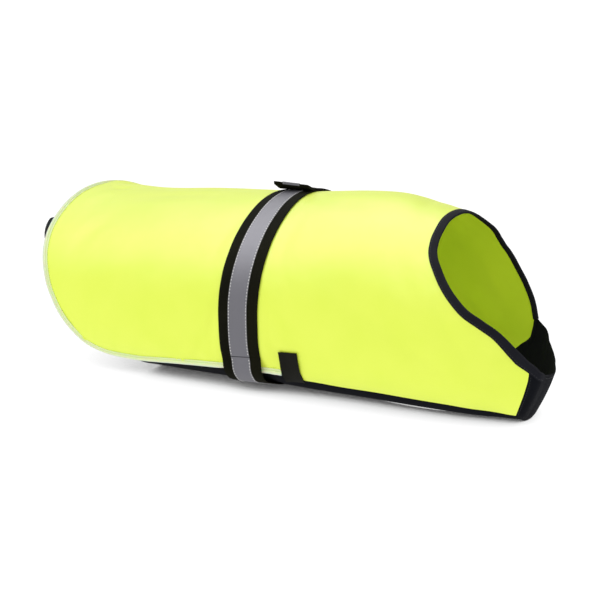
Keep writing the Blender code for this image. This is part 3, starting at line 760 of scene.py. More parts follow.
class Nodes:
    """One material's nodes."""

    def __init__(self, name: str) -> None:
        """Start a material with its Principled shader.

        Args:
            name: The material's name.
        """
        self.material = bpy.data.materials.new(name)
        self.material.use_nodes = True
        self.tree = self.material.node_tree
        self.shader = self.tree.nodes["Principled BSDF"]

    def fill(self, socket: bpy.types.NodeSocket, value: Any) -> None:
        """Link a value to a socket, or set a number or colour on it.

        Args:
            socket: The input to fill.
            value: A value, a number or a colour.
        """
        if isinstance(value, Value):
            self.tree.links.new(value.socket, socket)
        elif isinstance(value, tuple) and len(value) == 3 and socket.type == "RGBA":
            socket.default_value = (*value, 1.0)
        else:
            socket.default_value = value

    def add(self, kind: str, settings: Optional[Mapping[str, Any]] = None,
            inputs: Optional[Mapping[Union[int, str], Any]] = None,
            output: Union[int, str] = 0) -> Value:
        """Add a node.

        Args:
            kind: The node's type.
            settings: Its own settings, set first; "stops" are a ramp's places and colours.
            inputs: Values or links by socket.
            output: The output socket to return.

        Returns:
            The output as a value.
        """
        node = self.tree.nodes.new(kind)
        for key, value in (settings or {}).items():
            if key == "stops":
                ramp = node.color_ramp
                while len(ramp.elements) < len(value):
                    ramp.elements.new(1.0)
                for element, (place, colour) in zip(ramp.elements, value):
                    element.position = place
                    element.color = (*colour, 1.0)
            else:
                setattr(node, key, value)
        for key, value in (inputs or {}).items():
            self.fill(node.inputs[key], value)
        return Value(self, node.outputs[output])

    def surface(self, **inputs: Any) -> None:
        """Set or link the shader's inputs, whose names have _ for spaces."""
        for key, value in inputs.items():
            self.fill(self.shader.inputs[key.replace("_", " ")], value)

    def cloth(self) -> tuple[Value, Value, Value]:
        """Read the cloth coordinates, in metres.

        Returns:
            One vector, the distance along the cloth, and the distance across it.
        """
        place = self.add("ShaderNodeAttribute", {"attribute_name": CLOTH_ATTRIBUTE}, output="Vector")
        along = self.add("ShaderNodeSeparateXYZ", inputs={0: place}, output=0)
        across = self.add("ShaderNodeSeparateXYZ", inputs={0: place}, output=1)
        return place, along, across

    def noise(self, place: Value, size: float, detail: float = 2.0, rough: float = 0.5) -> Value:
        """Return noise from 0 to 1 with spots of a size in metres."""
        return self.add("ShaderNodeTexNoise", inputs={
            "Vector": place, "Scale": 1.0 / size, "Detail": detail, "Roughness": rough})

    def blend(self, factor: Number, first: Any, second: Any) -> Value:
        """Return a mix of two colours."""
        return self.add("ShaderNodeMix", {"data_type": "RGBA"}, {0: factor, 6: first, 7: second}, 2)

    def ramp(self, value: Value, low: float, high: float) -> Value:
        """Return 0 below a value, 1 above another, and a smooth step between."""
        return self.add("ShaderNodeMapRange", {"interpolation_type": "SMOOTHSTEP"},
                        {"Value": value, "From Min": low, "From Max": high})

    def bump(self, height: Value, relief: float, normal: Optional[Value] = None) -> Value:
        """Raise a surface by a height.

        Args:
            height: The height, from 0 to 1.
            relief: What 1 stands for, in metres.
            normal: A normal that is raised already.

        Returns:
            The new normal.
        """
        inputs = {"Height": height, "Distance": relief, "Strength": 1.0}
        if normal is not None:
            inputs["Normal"] = normal
        return self.add("ShaderNodeBump", inputs=inputs)


class Weave(Enum):
    """How threads cross."""

    PLAIN = "plain"
    TWILL = "twill"
    RIBBED = "ribbed"


def weave_height(weave: Weave, along: Value, across: Value, pitch: float) -> Value:
    """Return a weave's height from 0 to 1.

    Args:
        weave: How the threads cross.
        along: Distance along the cloth.
        across: Distance across it.
        pitch: The repeat's length.

    Returns:
        The height as a value.
    """
    turn = 2.0 * math.pi / pitch
    if weave is Weave.TWILL:
        return ((along + across) * turn).function("SINE") * 0.5 + 0.5
    if weave is Weave.RIBBED:
        rib = (along * (0.5 * turn)).function("SINE").function("ABSOLUTE")
        thread = (across * (2.0 * turn)).function("SINE") * 0.15
        return rib * 0.85 + thread
    return (along * turn).function("SINE") * (across * turn).function("SINE") * 0.5 + 0.5


@dataclass(frozen=True)
class Fabric:
    """A woven cloth."""

    name: str
    colour: Colour
    shade: Colour               # where it has softly darker patches
    # softly darker patches, and painted shade where the weave lies low
    weave: Weave
    pitch: float
    relief: float
    roughness: float
    painted_glow: float = 0.0           # painted light: emission that lights the cloth whatever light falls on it
    specular: float = 0.4
    patch: float = 0.045        # size of the darker patches

    def material(self) -> bpy.types.Material:
        """Make the fabric's material.

        Returns:
            The material.
        """
        nodes = Nodes(self.name)
        place, along, across = nodes.cloth()
        height = weave_height(self.weave, along, across, self.pitch)
        patches = nodes.noise(place, self.patch)
        slub = nodes.noise(place, 2.5 * self.pitch, 1.0)
        # Random patches and slubs darken the colour, and so does painted shade where the weave lies low.
        factor = nodes.ramp(patches, 0.30, 0.75) * 0.55 + (1.0 - height) * 0.30 + slub * 0.15
        colour = nodes.blend(factor, self.colour, self.shade)
        rough = self.roughness + (slub - 0.5) * 0.12
        soft = nodes.bump(nodes.noise(place, 0.012, 2.0), 0.00025)
        nodes.surface(Base_Color=colour, Roughness=rough, Specular_IOR_Level=self.specular,
                      Normal=nodes.bump(height, self.relief, soft))
        # Painted light: the cloth gives off light of its own colour, as a lamp would.
        if self.painted_glow:
            nodes.surface(Emission_Color=colour, Emission_Strength=self.painted_glow)
        return nodes.material


@dataclass(frozen=True)
class ReflectiveTape:
    """Grey tape of fine glass beads, lighter where its two edges are pressed down."""

    name: str
    colour: Colour
    edge_colour: Colour
    width: float
    edge: float

    def material(self) -> bpy.types.Material:
        """Make the tape's material.

        Returns:
            The material.
        """
        nodes = Nodes(self.name)
        place, _, across = nodes.cloth()
        beads = nodes.add("ShaderNodeTexVoronoi", inputs={"Vector": place, "Scale": 1.0 / (0.25 * MM)})
        scuffs = nodes.noise(place, 0.004, 3.0, 0.6)
        from_middle = across.function("ABSOLUTE")
        edge = nodes.ramp(from_middle, 0.5 * self.width - self.edge, 0.5 * self.width - 0.5 * self.edge)
        # The beads' lighter spots are a painted glint, their sparkle; the scuffs mixed in with them are
        # wear.
        light = tuple(1.25 * value for value in self.colour)
        painted_glint_and_scuffs = nodes.blend(beads * 0.5 + scuffs * 0.5, self.colour, light)
        nodes.surface(
            Base_Color=nodes.blend(edge * 0.75, painted_glint_and_scuffs, self.edge_colour),
            Roughness=0.38 + scuffs * 0.16,
            Metallic=0.25 - edge * 0.15,
            Normal=nodes.bump(beads, 0.00003),
        )
        return nodes.material


@dataclass(frozen=True)
class LightTube:
    """Milky light tube, with painted yellow bounce light from the cloth laid on towards its sleeve."""

    name: str
    colour: Colour
    sleeve_painted_bounce_colour: Colour

    def material(self) -> bpy.types.Material:
        """Make the tube's material, from the turn round it that is in its cloth coordinates.

        Returns:
            The material.
        """
        nodes = Nodes(self.name)
        place, along, turn = nodes.cloth()
        cloudy = nodes.noise(place, 0.02, 2.0)
        clear = nodes.blend(cloudy * 0.35, self.colour, tuple(0.93 * value for value in self.colour))
        # Painted bounce light: towards the sleeve, the side that faces the cloth, the tube takes the yellow
        # cloth's colour; the tube's ribs show there too.
        sleeve = nodes.ramp(turn, -0.9, 1.15)
        ribs = (along * (2.0 * math.pi / (0.9 * MM))).function("SINE") * 0.5 + 0.5
        nodes.surface(Base_Color=nodes.blend(sleeve, clear, self.sleeve_painted_bounce_colour),
                      Roughness=0.30 + cloudy * 0.12, Subsurface_Weight=0.2,
                      Subsurface_Scale=0.002, Specular_IOR_Level=0.25,
                      Normal=nodes.bump(ribs * sleeve, 0.00003))
        return nodes.material


@dataclass(frozen=True)
class Thread:
    """Sewing thread, two plies twisted together."""

    name: str
    colour: Colour
    roughness: float = 0.55

    def material(self) -> bpy.types.Material:
        """Make the thread's material.

        Returns:
            The material.
        """
        nodes = Nodes(self.name)
        _, along, across = nodes.cloth()
        twist = ((along + across * 1.5) * (2.0 * math.pi / (0.5 * MM))).function("SINE") * 0.5 + 0.5
        # The darker colour is painted shade in the grooves between the plies, where the twist lies low.
        dark = tuple(0.7 * value for value in self.colour)
        nodes.surface(Base_Color=nodes.blend(twist, dark, self.colour), Roughness=self.roughness,
                      Normal=nodes.bump(twist, 0.00004))
        return nodes.material


@dataclass(frozen=True)
class FloorFinish:
    """A plain white floor that glows evenly, with a painted shadow where something stands close above it.
    """

    name: str
    light: float
    reach: float
    dark_share: float           # open share of the sky at which it is darkest
    open_share: float           # at which it is nearly white
    clear_share: float          # and from which it is white
    far_light: float = 0.40
    dark: Colour = (0.07, 0.07, 0.07)

    def material(self) -> bpy.types.Material:
        """Make the floor's material.

        Returns:
            The material.
        """
        nodes = Nodes(self.name)
        # Painted shadow: ambient occlusion darkens the floor's own light towards the dark colour.
        sky = nodes.add("ShaderNodeAmbientOcclusion", {"samples": 12}, {"Distance": self.reach}, "AO")
        near = nodes.ramp(sky, self.dark_share, self.open_share)
        far = nodes.ramp(sky, self.dark_share, self.clear_share)
        shade = near * (1.0 - self.far_light) + far * self.far_light
        nodes.surface(Base_Color=(0.0, 0.0, 0.0), Roughness=0.9, Specular_IOR_Level=0.0,
                      Emission_Color=nodes.blend(shade, self.dark, (1.0, 1.0, 1.0)),
                      Emission_Strength=self.light)
        return nodes.material


FLUORESCENT = Fabric("fluorescent_cloth", (0.80, 0.93, 0.080), (0.745, 0.90, 0.055), Weave.PLAIN,
                     0.55 * MM, 0.03 * MM, 0.46, specular=0.62)
# The back panel's inner face: a darker copy of the fluorescent cloth, which is painted shade, lifted again
# by painted light of its own.
FLUORESCENT_INSIDE_PAINTED_SHADE_LIGHT = Fabric("fluorescent_inside_painted_shade_and_light", (0.60, 0.76, 0.030), (0.53, 0.70, 0.020), Weave.PLAIN,
                            0.55 * MM, 0.03 * MM, 0.75, painted_glow=0.16, specular=0.15)
BLACK_CLOTH = Fabric("black_cloth", (0.0058, 0.0066, 0.0092), (0.003, 0.003, 0.005), Weave.TWILL,
                     0.7 * MM, 0.05 * MM, 0.80, specular=0.06)
BLACK_WEBBING = Fabric("black_webbing", (0.0080, 0.0078, 0.0028), (0.003, 0.003, 0.001), Weave.RIBBED,
                       1.3 * MM, 0.16 * MM, 0.80, specular=0.045)
BLACK_ELASTIC = Fabric("black_elastic", (0.0060, 0.0095, 0.0100), (0.001, 0.002, 0.002), Weave.RIBBED,
                       1.0 * MM, 0.14 * MM, 0.75, specular=0.06)
BINDING_TAPE = Fabric("binding_tape", (0.0115, 0.0120, 0.0165), (0.006, 0.006, 0.009), Weave.TWILL,
                      0.6 * MM, 0.05 * MM, 0.75, specular=0.07)
LABEL_SATIN = Fabric("label_satin", (0.0080, 0.0075, 0.0050), (0.005, 0.005, 0.003), Weave.TWILL,
                     0.35 * MM, 0.02 * MM, 0.65, specular=0.08)
REFLECTIVE_TAPE = ReflectiveTape("reflective_tape", (0.124, 0.122, 0.138), (0.175, 0.175, 0.180),
                                 TAPE_WIDTH, 1.2 * MM)
# Its second colour is painted yellow bounce light from the cloth.
LIGHT_TUBE = LightTube("light_tube", (0.66, 0.73, 0.64), (0.74, 0.83, 0.42))
GREY_THREAD = Thread("grey_thread", (0.86, 0.85, 0.82))
YELLOW_THREAD = Thread("yellow_thread", (0.55, 0.72, 0.04))
BLACK_THREAD = Thread("black_thread", (0.006, 0.006, 0.006))
WHITE_FLOOR = FloorFinish("white_floor", 1.12, 1.20, 0.09, 0.20, 0.66)


# Sewing.


@dataclass
class Stitches:
    """Rows of lockstitches, each a small bead of thread half sunk into the cloth."""

    name: str
    finish: Thread
    pitch: float = 2.4 * MM
    length: float = 1.75 * MM
    width: float = 0.50 * MM
    height: float = 0.36 * MM
    sides: int = 6

    def __post_init__(self) -> None:
        """Start without any row."""
        self.shape = Shape(self.name)
        self.rows = 0

    def bead(self) -> tuple[Array, list[Face]]:
        """Form a bead of thread.

        Returns:
            Its points, from -1 to 1 each way, and its faces.
        """
        rings = []
        for place, size in ((-0.82, 0.62), (0.0, 1.0), (0.82, 0.62)):
            turn = 2.0 * math.pi * np.arange(self.sides) / self.sides
            rings.append(np.stack([np.full(self.sides, place), size * np.cos(turn),
                                   size * np.sin(turn)], -1))
        points = np.concatenate([*rings, [[-1.0, 0.0, 0.0], [1.0, 0.0, 0.0]]])
        first, last = len(points) - 2, len(points) - 1
        faces: list[Face] = []
        for k in range(self.sides):
            after = (k + 1) % self.sides
            faces.append((first, after, k))
            faces.append((last, 2 * self.sides + k, 2 * self.sides + after))
            for ring in range(2):
                start = ring * self.sides
                faces.append((start + k, start + after, start + self.sides + after,
                              start + self.sides + k))
        return points, faces

    def add_row(self, points: Array, out: Array) -> None:
        """Sew one row.

        Args:
            points: Points close together on the cloth's surface.
            out: The directions straight out from the cloth there.
        """
        lengths = arc(points)
        self.rows += 1
        middles = np.arange(self.pitch, lengths[-1] - self.pitch, self.pitch)
        middles = middles + 0.12 * self.pitch * waves(middles, 3.7 * self.pitch, self.rows)
        spots = self.read(lengths, points, middles)
        ahead = self.read(lengths, points, middles + 0.5 * self.length)
        behind = self.read(lengths, points, middles - 0.5 * self.length)
        normal = unit(self.read(lengths, out, middles))
        along = unit(ahead - behind)
        across = unit(np.cross(normal, along))
        normal = np.cross(along, across)
        bead, faces = self.bead()
        size = 0.5 * np.array([self.length, self.width, self.height])
        parts = (bead * size)[None]
        shaped = (spots[:, None] + along[:, None] * parts[..., :1] + across[:, None] * parts[..., 1:2]
                  + normal[:, None] * parts[..., 2:])
        cloth = np.broadcast_to(parts, shaped.shape) + middles[:, None, None] * np.array([1.0, 0, 0])
        shaped = on_floor(shaped)
        for number in range(len(middles)):
            self.shape.add(shaped[number], cloth[number], faces)

    @staticmethod
    def read(lengths: Array, values: Array, places: Array) -> Array:
        """Return a line's values at lengths along it."""
        return np.stack([np.interp(places, lengths, values[:, axis]) for axis in range(3)], -1)

    def make(self, slot: str) -> bpy.types.Object:
        """Make the rows' object and hang it on the vest.

        Args:
            slot: The material slot that it takes; not used.

        Returns:
            The object.
        """
        thing = self.shape.make([self.finish.material()], sharp=180.0)
        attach(thing, BODY_NAME)
        LOG.info("%s: %d rows, %d triangles", self.name, self.rows, triangles(thing))
        return thing


def triangles(thing: bpy.types.Object) -> int:
    """Return how many triangles an object's mesh has."""
    return sum(len(face.vertices) - 2 for face in thing.data.polygons)


class Cut(NamedTuple):
    """A piece's flat cut."""

    width: float
    length: float
    area: Optional[float] = None
    held: str = "draped"


def put_in_place(thing: bpy.types.Object, node: str, cut: Optional[Cut],
                 sewn: Sequence[bpy.types.Object] = ()) -> None:
    """Let a piece stand for its node.

    Args:
        thing: The piece.
        node: The node that it stands for.
        cut: Its flat cut, or None where it isn't cloth; not used.
        sewn: Pieces that go with it; not used.
    """
    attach(thing, BODY_NAME)
    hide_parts(node)
    LOG.info("%s: stands for %s, %d triangles, %.4f m2 of surface", thing.name, node,
             triangles(thing), sum(face.area for face in thing.data.polygons))


# Pieces.


@dataclass
class BackPanel:
    """Fluorescent panel over the back and down both sides, cut in one piece."""

    thickness: float = 0.6 * MM
    chest_share: float = 4.0 / 48.0     # of the front edge that is each chest edge
    tail_rows: float = 6.0
    straight_start: float = -0.100
    straight_end: float = 0.130
    deepest: float = 2.8 * MM           # how far a crease may press in
    highest: float = 1.8 * MM           # and stand out
    pucker: float = 0.30 * MM
    pucker_reach: float = 7.0 * MM
    hem_ripple: float = 9.0 * MM        # the puckers' usual length along the hem
    neck_ripple: float = 23.0 * MM      # and along the neck edge
    seam_inset: float = 2.0 * MM
    seam_width: float = 0.9 * MM
    seam_depth: float = 0.28 * MM
    pressed: float = 0.2 * MM           # how far the belt presses the cloth in
    belt_margin: float = 0.5 * MM
    belt_fade: float = 5.0 * MM
    cut: Cut = Cut(0.440, 0.510, 0.190)

    CREASES = table(
        Crease,
        (-0.030, -97.0, 0.026, 0.0045, 0.0018, 76.0), (-0.043, -108.0, 0.017, 0.0050, 0.0014, 52.0),
        (-0.058, -112.0, 0.020, 0.0060, -0.0010, 34.0), (-0.090, -103.0, 0.034, 0.0110, 0.0010, 12.0),
        (-0.033, -60.0, 0.040, 0.0060, 0.0010, 84.0), (0.029, -106.0, 0.020, 0.0042, 0.0016, 98.0),
        (0.034, -62.0, 0.038, 0.0065, 0.0010, 96.0), (0.049, -116.0, 0.018, 0.0050, 0.0011, 150.0),
        (0.085, -112.0, 0.050, 0.0100, 0.0011, 168.0), (0.130, -118.0, 0.040, 0.0080, -0.0010, 172.0),
        (0.178, -108.0, 0.042, 0.0075, 0.0016, 158.0), (0.205, -117.0, 0.030, 0.0060, -0.0011, 150.0),
        (0.196, -88.0, 0.034, 0.0080, 0.0014, 128.0), (0.150, -60.0, 0.036, 0.0095, 0.0013, 118.0),
        (0.120, -84.0, 0.060, 0.0160, 0.0013, 150.0), (0.232, -124.0, 0.016, 0.0045, 0.0011, 82.0),
        (-0.150, -86.0, 0.050, 0.0140, 0.0014, 28.0), (-0.190, -62.0, 0.032, 0.0090, 0.0011, 64.0),
        (-0.160, -104.0, 0.030, 0.0080, -0.0011, 20.0), (-0.205, -30.0, 0.030, 0.0100, 0.0011, 88.0),
        (-0.217, -8.0, 0.013, 0.0075, 0.0026, 60.0), (-0.244, 10.0, 0.024, 0.0065, -0.0021, 90.0),
        (-0.2295, 11.0, 0.014, 0.0045, 0.0022, 86.0), (-0.120, -18.0, 0.060, 0.0150, 0.0013, 6.0),
        (0.080, -22.0, 0.050, 0.0120, 0.0011, 172.0), (0.142, -6.0, 0.026, 0.0080, 0.0013, 96.0),
        (-0.030, 98.0, 0.026, 0.0050, 0.0018, 102.0), (-0.052, 110.0, 0.020, 0.0060, 0.0013, 140.0),
        (0.031, 104.0, 0.022, 0.0045, 0.0016, 84.0), (0.052, 112.0, 0.018, 0.0050, 0.0011, 30.0),
        (0.100, 106.0, 0.050, 0.0110, 0.0013, 14.0), (0.165, 100.0, 0.036, 0.0085, 0.0016, 32.0),
        (0.176, 74.0, 0.030, 0.0080, 0.0014, 58.0), (0.140, 44.0, 0.040, 0.0100, 0.0013, 66.0),
        (-0.110, 84.0, 0.056, 0.0150, 0.0014, 156.0), (-0.180, 70.0, 0.034, 0.0100, 0.0013, 120.0),
        (-0.100, 40.0, 0.060, 0.0160, 0.0011, 172.0), (-0.200, 104.0, 0.026, 0.0070, -0.0011, 150.0),
    )

    def __post_init__(self) -> None:
        """Measure the panel's edges."""
        self.tail = Track(WHOLE_TAIL_EDGE)
        self.right_chest = Track(RIGHT_CHEST_EDGE)
        self.neck = Track(NECK_EDGE)
        self.left_chest = Track(LEFT_CHEST_EDGE)

    def front_marks(self, across: Array) -> Array:
        """Walk the front edge from right to left.

        Args:
            across: Parts of the way.

        Returns:
            The marks there.
        """
        share = self.chest_share
        right = self.right_chest.marks(np.clip(across / share, 0.0, 1.0))
        neck = self.neck.marks(np.clip((across - share) / (1.0 - 2.0 * share), 0.0, 1.0))
        left = self.left_chest.marks(np.clip((across - 1.0 + share) / share, 0.0, 1.0))
        front = np.where((across < share)[:, None], right, neck)
        return np.where((across > 1.0 - share)[:, None], left, front)

    def marks(self) -> Array:
        """Lay out the panel's grid of marks, closest together along its sewn edges.

        Returns:
            Marks by column, from the right lower edge to the left one, and by row.
        """
        close = np.array([0.0, 0.0015, 0.003, 0.0045, 0.006, 0.0085, 0.0115, 0.015, 0.020])
        share = self.chest_share
        across = joined(close, np.linspace(0.020, share, 9), np.linspace(share, 1.0 - share, 133),
                        np.linspace(1.0 - share, 0.980, 9), 1.0 - close[::-1])
        tail_close = close / 0.020 * 0.6
        rows = joined(tail_close, np.linspace(0.6, self.tail_rows, 20))
        straight, front = even_parts(73)[1:], even_parts(25)[1:]
        right, left = BODY.right_lower, BODY.left_lower

        def straight_marks(parts: Array) -> Array:
            """Return the marks at parts of the way along the straight sides."""
            x = self.straight_start + (self.straight_end - self.straight_start) * parts
            return at(x, right(x) + (left(x) - right(x)) * across[:, None])

        rear = self.tail.marks(across)[:, None]
        start = straight_marks(np.zeros(1))
        tail_part = rear + (start - rear) * (rows / self.tail_rows)[None, :, None]
        last = straight_marks(np.ones(1))
        ends = self.front_marks(across)[:, None]
        marks = last + (ends - last) * front[None, :, None]
        corners = (
            (RIGHT_CHEST_EDGE[0], right, 1.0 - across),
            (LEFT_CHEST_EDGE[-1], left, across),
        )
        for corner, lower, weight in corners:
            level = float(lower(self.straight_end))
            bent = lower(self.straight_end + (corner.x - self.straight_end) * front)
            bent = bent - (level + (corner.angle - level) * front)
            marks[..., 1] += bent[None] * weight[:, None]
        return np.concatenate([tail_part, straight_marks(straight), marks], axis=1)

    def relief(self, marks: Array) -> Array:
        """Work out the creases, puckers and seams.

        Args:
            marks: Marks to look at.

        Returns:
            How far the cloth lies off its plain form.
        """
        points = BODY.skin(marks, CLOTH)
        relief = crease_relief(marks, self.CREASES)
        off_belt = np.abs(marks[..., 0]) - 0.5 * BELT_WIDTH - self.belt_margin
        under_belt = 1.0 - ease(off_belt / self.belt_fade)
        relief = np.clip(relief, -self.deepest, self.highest)
        hem, neck = Track(piped_edge(PIPING_END)).marks(even_parts(1200)), self.neck.marks(even_parts(500))
        for edge, reach, ripple, seed in (
                (hem, self.pucker_reach, self.hem_ripple, 0.4),
                (neck, 2.0 * self.pucker_reach, self.neck_ripple, 1.9)):
            distance, place = EdgeField(BODY.skin(edge, CLOTH)).measure(points)
            fade = np.exp(-(distance / reach) ** 2)
            relief = relief + self.pucker * fade * waves(place, ripple, seed)
            seam = np.exp(-((distance - self.seam_inset) / self.seam_width) ** 2)
            relief = relief - self.seam_depth * seam
        return relief * (1.0 - under_belt) - self.pressed * under_belt

    def build(self) -> None:
        """Make the panel and the stitches along its piped edge."""
        marks = self.marks()
        relief = self.relief(marks)
        outer = BODY.skin(marks, CLOTH + relief)
        inner = BODY.skin(marks, CLOTH + relief - self.thickness)
        shape = Shape("back_panel_cloth")
        shape.add_wall(outer, inner, inner_slot=1)
        thing = shape.make([FLUORESCENT.material(), FLUORESCENT_INSIDE_PAINTED_SHADE_LIGHT.material()])
        stitches = Stitches("hem_stitches", YELLOW_THREAD, width=0.42 * MM)
        self.sew(stitches, self.tail.marks(even_parts(900)))
        for lower in (BODY.right_lower, BODY.left_lower):
            for start, end in ((TAIL_EDGE[0].x, -0.5 * BELT_WIDTH), (0.5 * BELT_WIDTH, PIPING_END)):
                x = np.linspace(start, end, 260)
                self.sew(stitches, at(x, lower(x)))
        sewn = stitches.make("back_panel")
        put_in_place(thing, "back_panel", self.cut, [sewn])

    def sew(self, stitches: Stitches, edge: Array) -> None:
        """Sew a row beside an edge.

        Args:
            stitches: The rows that it joins.
            edge: Marks along the edge.
        """
        marks = edge + inward_steps(edge, 8) * self.seam_inset
        points = BODY.skin(marks, CLOTH + self.relief(marks) + 0.05 * MM)
        stitches.add_row(points, BODY.outward(marks))


@dataclass
class UnderPanel:
    """Black panel under the belly and chest, with an opening for each front leg."""

    thickness: float = 0.6 * MM
    rear_x: float = -0.130
    opening_middle: float = 0.132
    opening_half_length: float = 0.060
    openings: tuple[tuple[float, float], ...] = ((-162.5, 10.5), (-208.0, 14.5))   # middle, half
    sag: float = 3.2 * MM               # how far its near margin hangs down beside the legs
    sag_start: float = 9.0              # degrees in from the side at which it hangs fully
    sag_fade: float = 14.0              # degrees from the belly's middle over which it ends
    hem_inset: float = 4.0 * MM
    opening_inset: float = 3.0 * MM     # how far outside an opening's edge its stitches run
    opening_turn: float = 2.6           # the same in degrees, to its sides
    margin_steps: int = 16
    centre_steps: int = 20
    cut: Cut = Cut(0.250, 0.375, 0.0664)

    CREASES = table(
        Crease,
        (-0.060, -176.0, 0.030, 0.0100, -0.0006, 70.0), (-0.100, -150.0, 0.030, 0.0090, -0.0007, 40.0),
        (0.060, -178.0, 0.016, 0.0060, -0.0009, 92.0), (0.140, 176.0, 0.050, 0.0090, -0.0009, 4.0),
        (0.215, -172.0, 0.020, 0.0060, -0.0008, 64.0), (0.212, 170.0, 0.018, 0.0060, -0.0008, 118.0),
        (-0.080, 150.0, 0.034, 0.0090, -0.0007, 150.0), (0.045, -136.0, 0.014, 0.0050, 0.0006, 30.0),
    )

    def angles(self, x: float) -> Array:
        """Spread one row of the panel, from the right side to the left.

        Args:
            x: Its place along the back.

        Returns:
            The row's angles.
        """
        right = float(BODY.right_lower(min(x, RIGHT_CHEST_EDGE[0].x))) + PANEL_TUCK
        left = float(BODY.left_lower(min(x, LEFT_CHEST_EDGE[-1].x))) - PANEL_TUCK - 360.0
        off = (x - self.opening_middle) / self.opening_half_length
        open_share = math.sqrt(max(0.0, 1.0 - off ** 2))
        (right_middle, right_half), (left_middle, left_half) = self.openings
        right_half, left_half = right_half * open_share, left_half * open_share
        right_margin, left_margin = right - 2.0 * PANEL_TUCK, left + 2.0 * PANEL_TUCK
        right_middle = min(right_middle, right_margin - 1.0)
        steps = self.margin_steps // 2 + 1
        return np.concatenate([
            np.linspace(right, right_margin, steps),
            np.linspace(right_margin, right_middle + right_half, steps)[1:],
            np.linspace(right_middle - right_half, left_middle + left_half, self.centre_steps + 1),
            np.linspace(left_middle - left_half, left_margin, steps),
            np.linspace(left_margin, left, steps)[1:],
        ])

    def marks(self) -> Array:
        """Lay out the panel's grid of marks.

        Returns:
            Marks by row from its rear end, and by column from the right.
        """
        start = self.opening_middle - self.opening_half_length
        end = self.opening_middle + self.opening_half_length
        bed_end = BELT_BED + BELT_BED_RAMP
        turns = np.linspace(0.0, math.pi, 41)
        places = joined(
            np.linspace(self.rear_x, -bed_end, 25),
            np.linspace(-bed_end, -BELT_BED, 6),
            np.linspace(-BELT_BED, BELT_BED, 11),
            np.linspace(BELT_BED, bed_end, 6),
            np.linspace(bed_end, start, 9),
            self.opening_middle - self.opening_half_length * np.cos(turns),
        )
        grid = [at(x, self.angles(float(x))) for x in places]
        for part in even_parts(15)[1:]:
            angles = self.angles(end + (RIGHT_CHEST_EDGE[0].x - end) * float(part))
            grid.append(at(end + (PANEL_FRONT_AT(-angles) - BUTT_GAP - end) * part, angles))
        return np.array(grid)

    def layer(self, marks: Array) -> Array:
        """Find how far out the panel's outer face lies.

        Args:
            marks: Marks to look at.

        Returns:
            The layer, sunk inside the back panel and out where the near margin sags.
        """
        x, angle = marks[..., 0], marks[..., 1]
        inside_right = (angle - BODY.right_lower(x)) / PANEL_TUCK
        inside_left = (BODY.left_lower(x) - angle - 360.0) / PANEL_TUCK
        inside = ease(1.0 + np.maximum(inside_right, inside_left))
        sag = ease((BODY.right_lower(x) - angle) / self.sag_start)
        sag = sag * ease((angle + 180.0) / self.sag_fade) * BODY.chest_arch(x)
        return -SEAM_GAP - (TUCK_GAP - SEAM_GAP) * inside + self.sag * sag

    def build(self) -> None:
        """Make the panel and the stitches round its openings and along its rear hem."""
        marks = self.marks()
        flat = ease((np.abs(marks[..., 0]) - BELT_BED) / BELT_BED_RAMP)
        inside = ease((-SEAM_GAP - self.layer(marks)) / (0.2 * MM))
        relief = -np.abs(crease_relief(marks, self.CREASES)) * flat * (1.0 - inside)
        layer = self.layer(marks) + relief
        points, out = BODY.point(marks), BODY.outward(marks)
        outer = on_floor(points + out * layer[..., None])
        inner = points + out * (layer - self.thickness)[..., None]
        openings = (self.margin_steps, self.margin_steps + self.centre_steps + 1)
        shape = Shape("under_panel_cloth")
        shape.add_wall(outer, inner, keep=lambda row, column: column not in openings)
        thing = shape.make([BLACK_CLOTH.material()])
        stitches = Stitches("opening_stitches", BLACK_THREAD)
        for middle, half in self.openings:
            self.sew_opening(stitches, middle, half)
        hem = at(self.rear_x + self.hem_inset, np.linspace(-124.0, -236.0, 300))
        stitches.add_row(BODY.skin(hem, self.layer(hem)), BODY.outward(hem))
        put_in_place(thing, "under_panel", self.cut, [stitches.make("under_panel")])

    def sew_opening(self, stitches: Stitches, middle: float, half: float) -> None:
        """Sew a row round a leg opening.

        Args:
            stitches: The rows that it joins.
            middle: The opening's middle angle.
            half: Half of its angle.
        """
        turns = np.linspace(0.0, 2.0 * math.pi, 400)
        x = self.opening_middle - (self.opening_half_length + self.opening_inset) * np.cos(turns)
        marks = at(x, middle + (half + self.opening_turn) * np.sin(turns))
        stitches.add_row(BODY.skin(marks, self.layer(marks)), BODY.outward(marks))


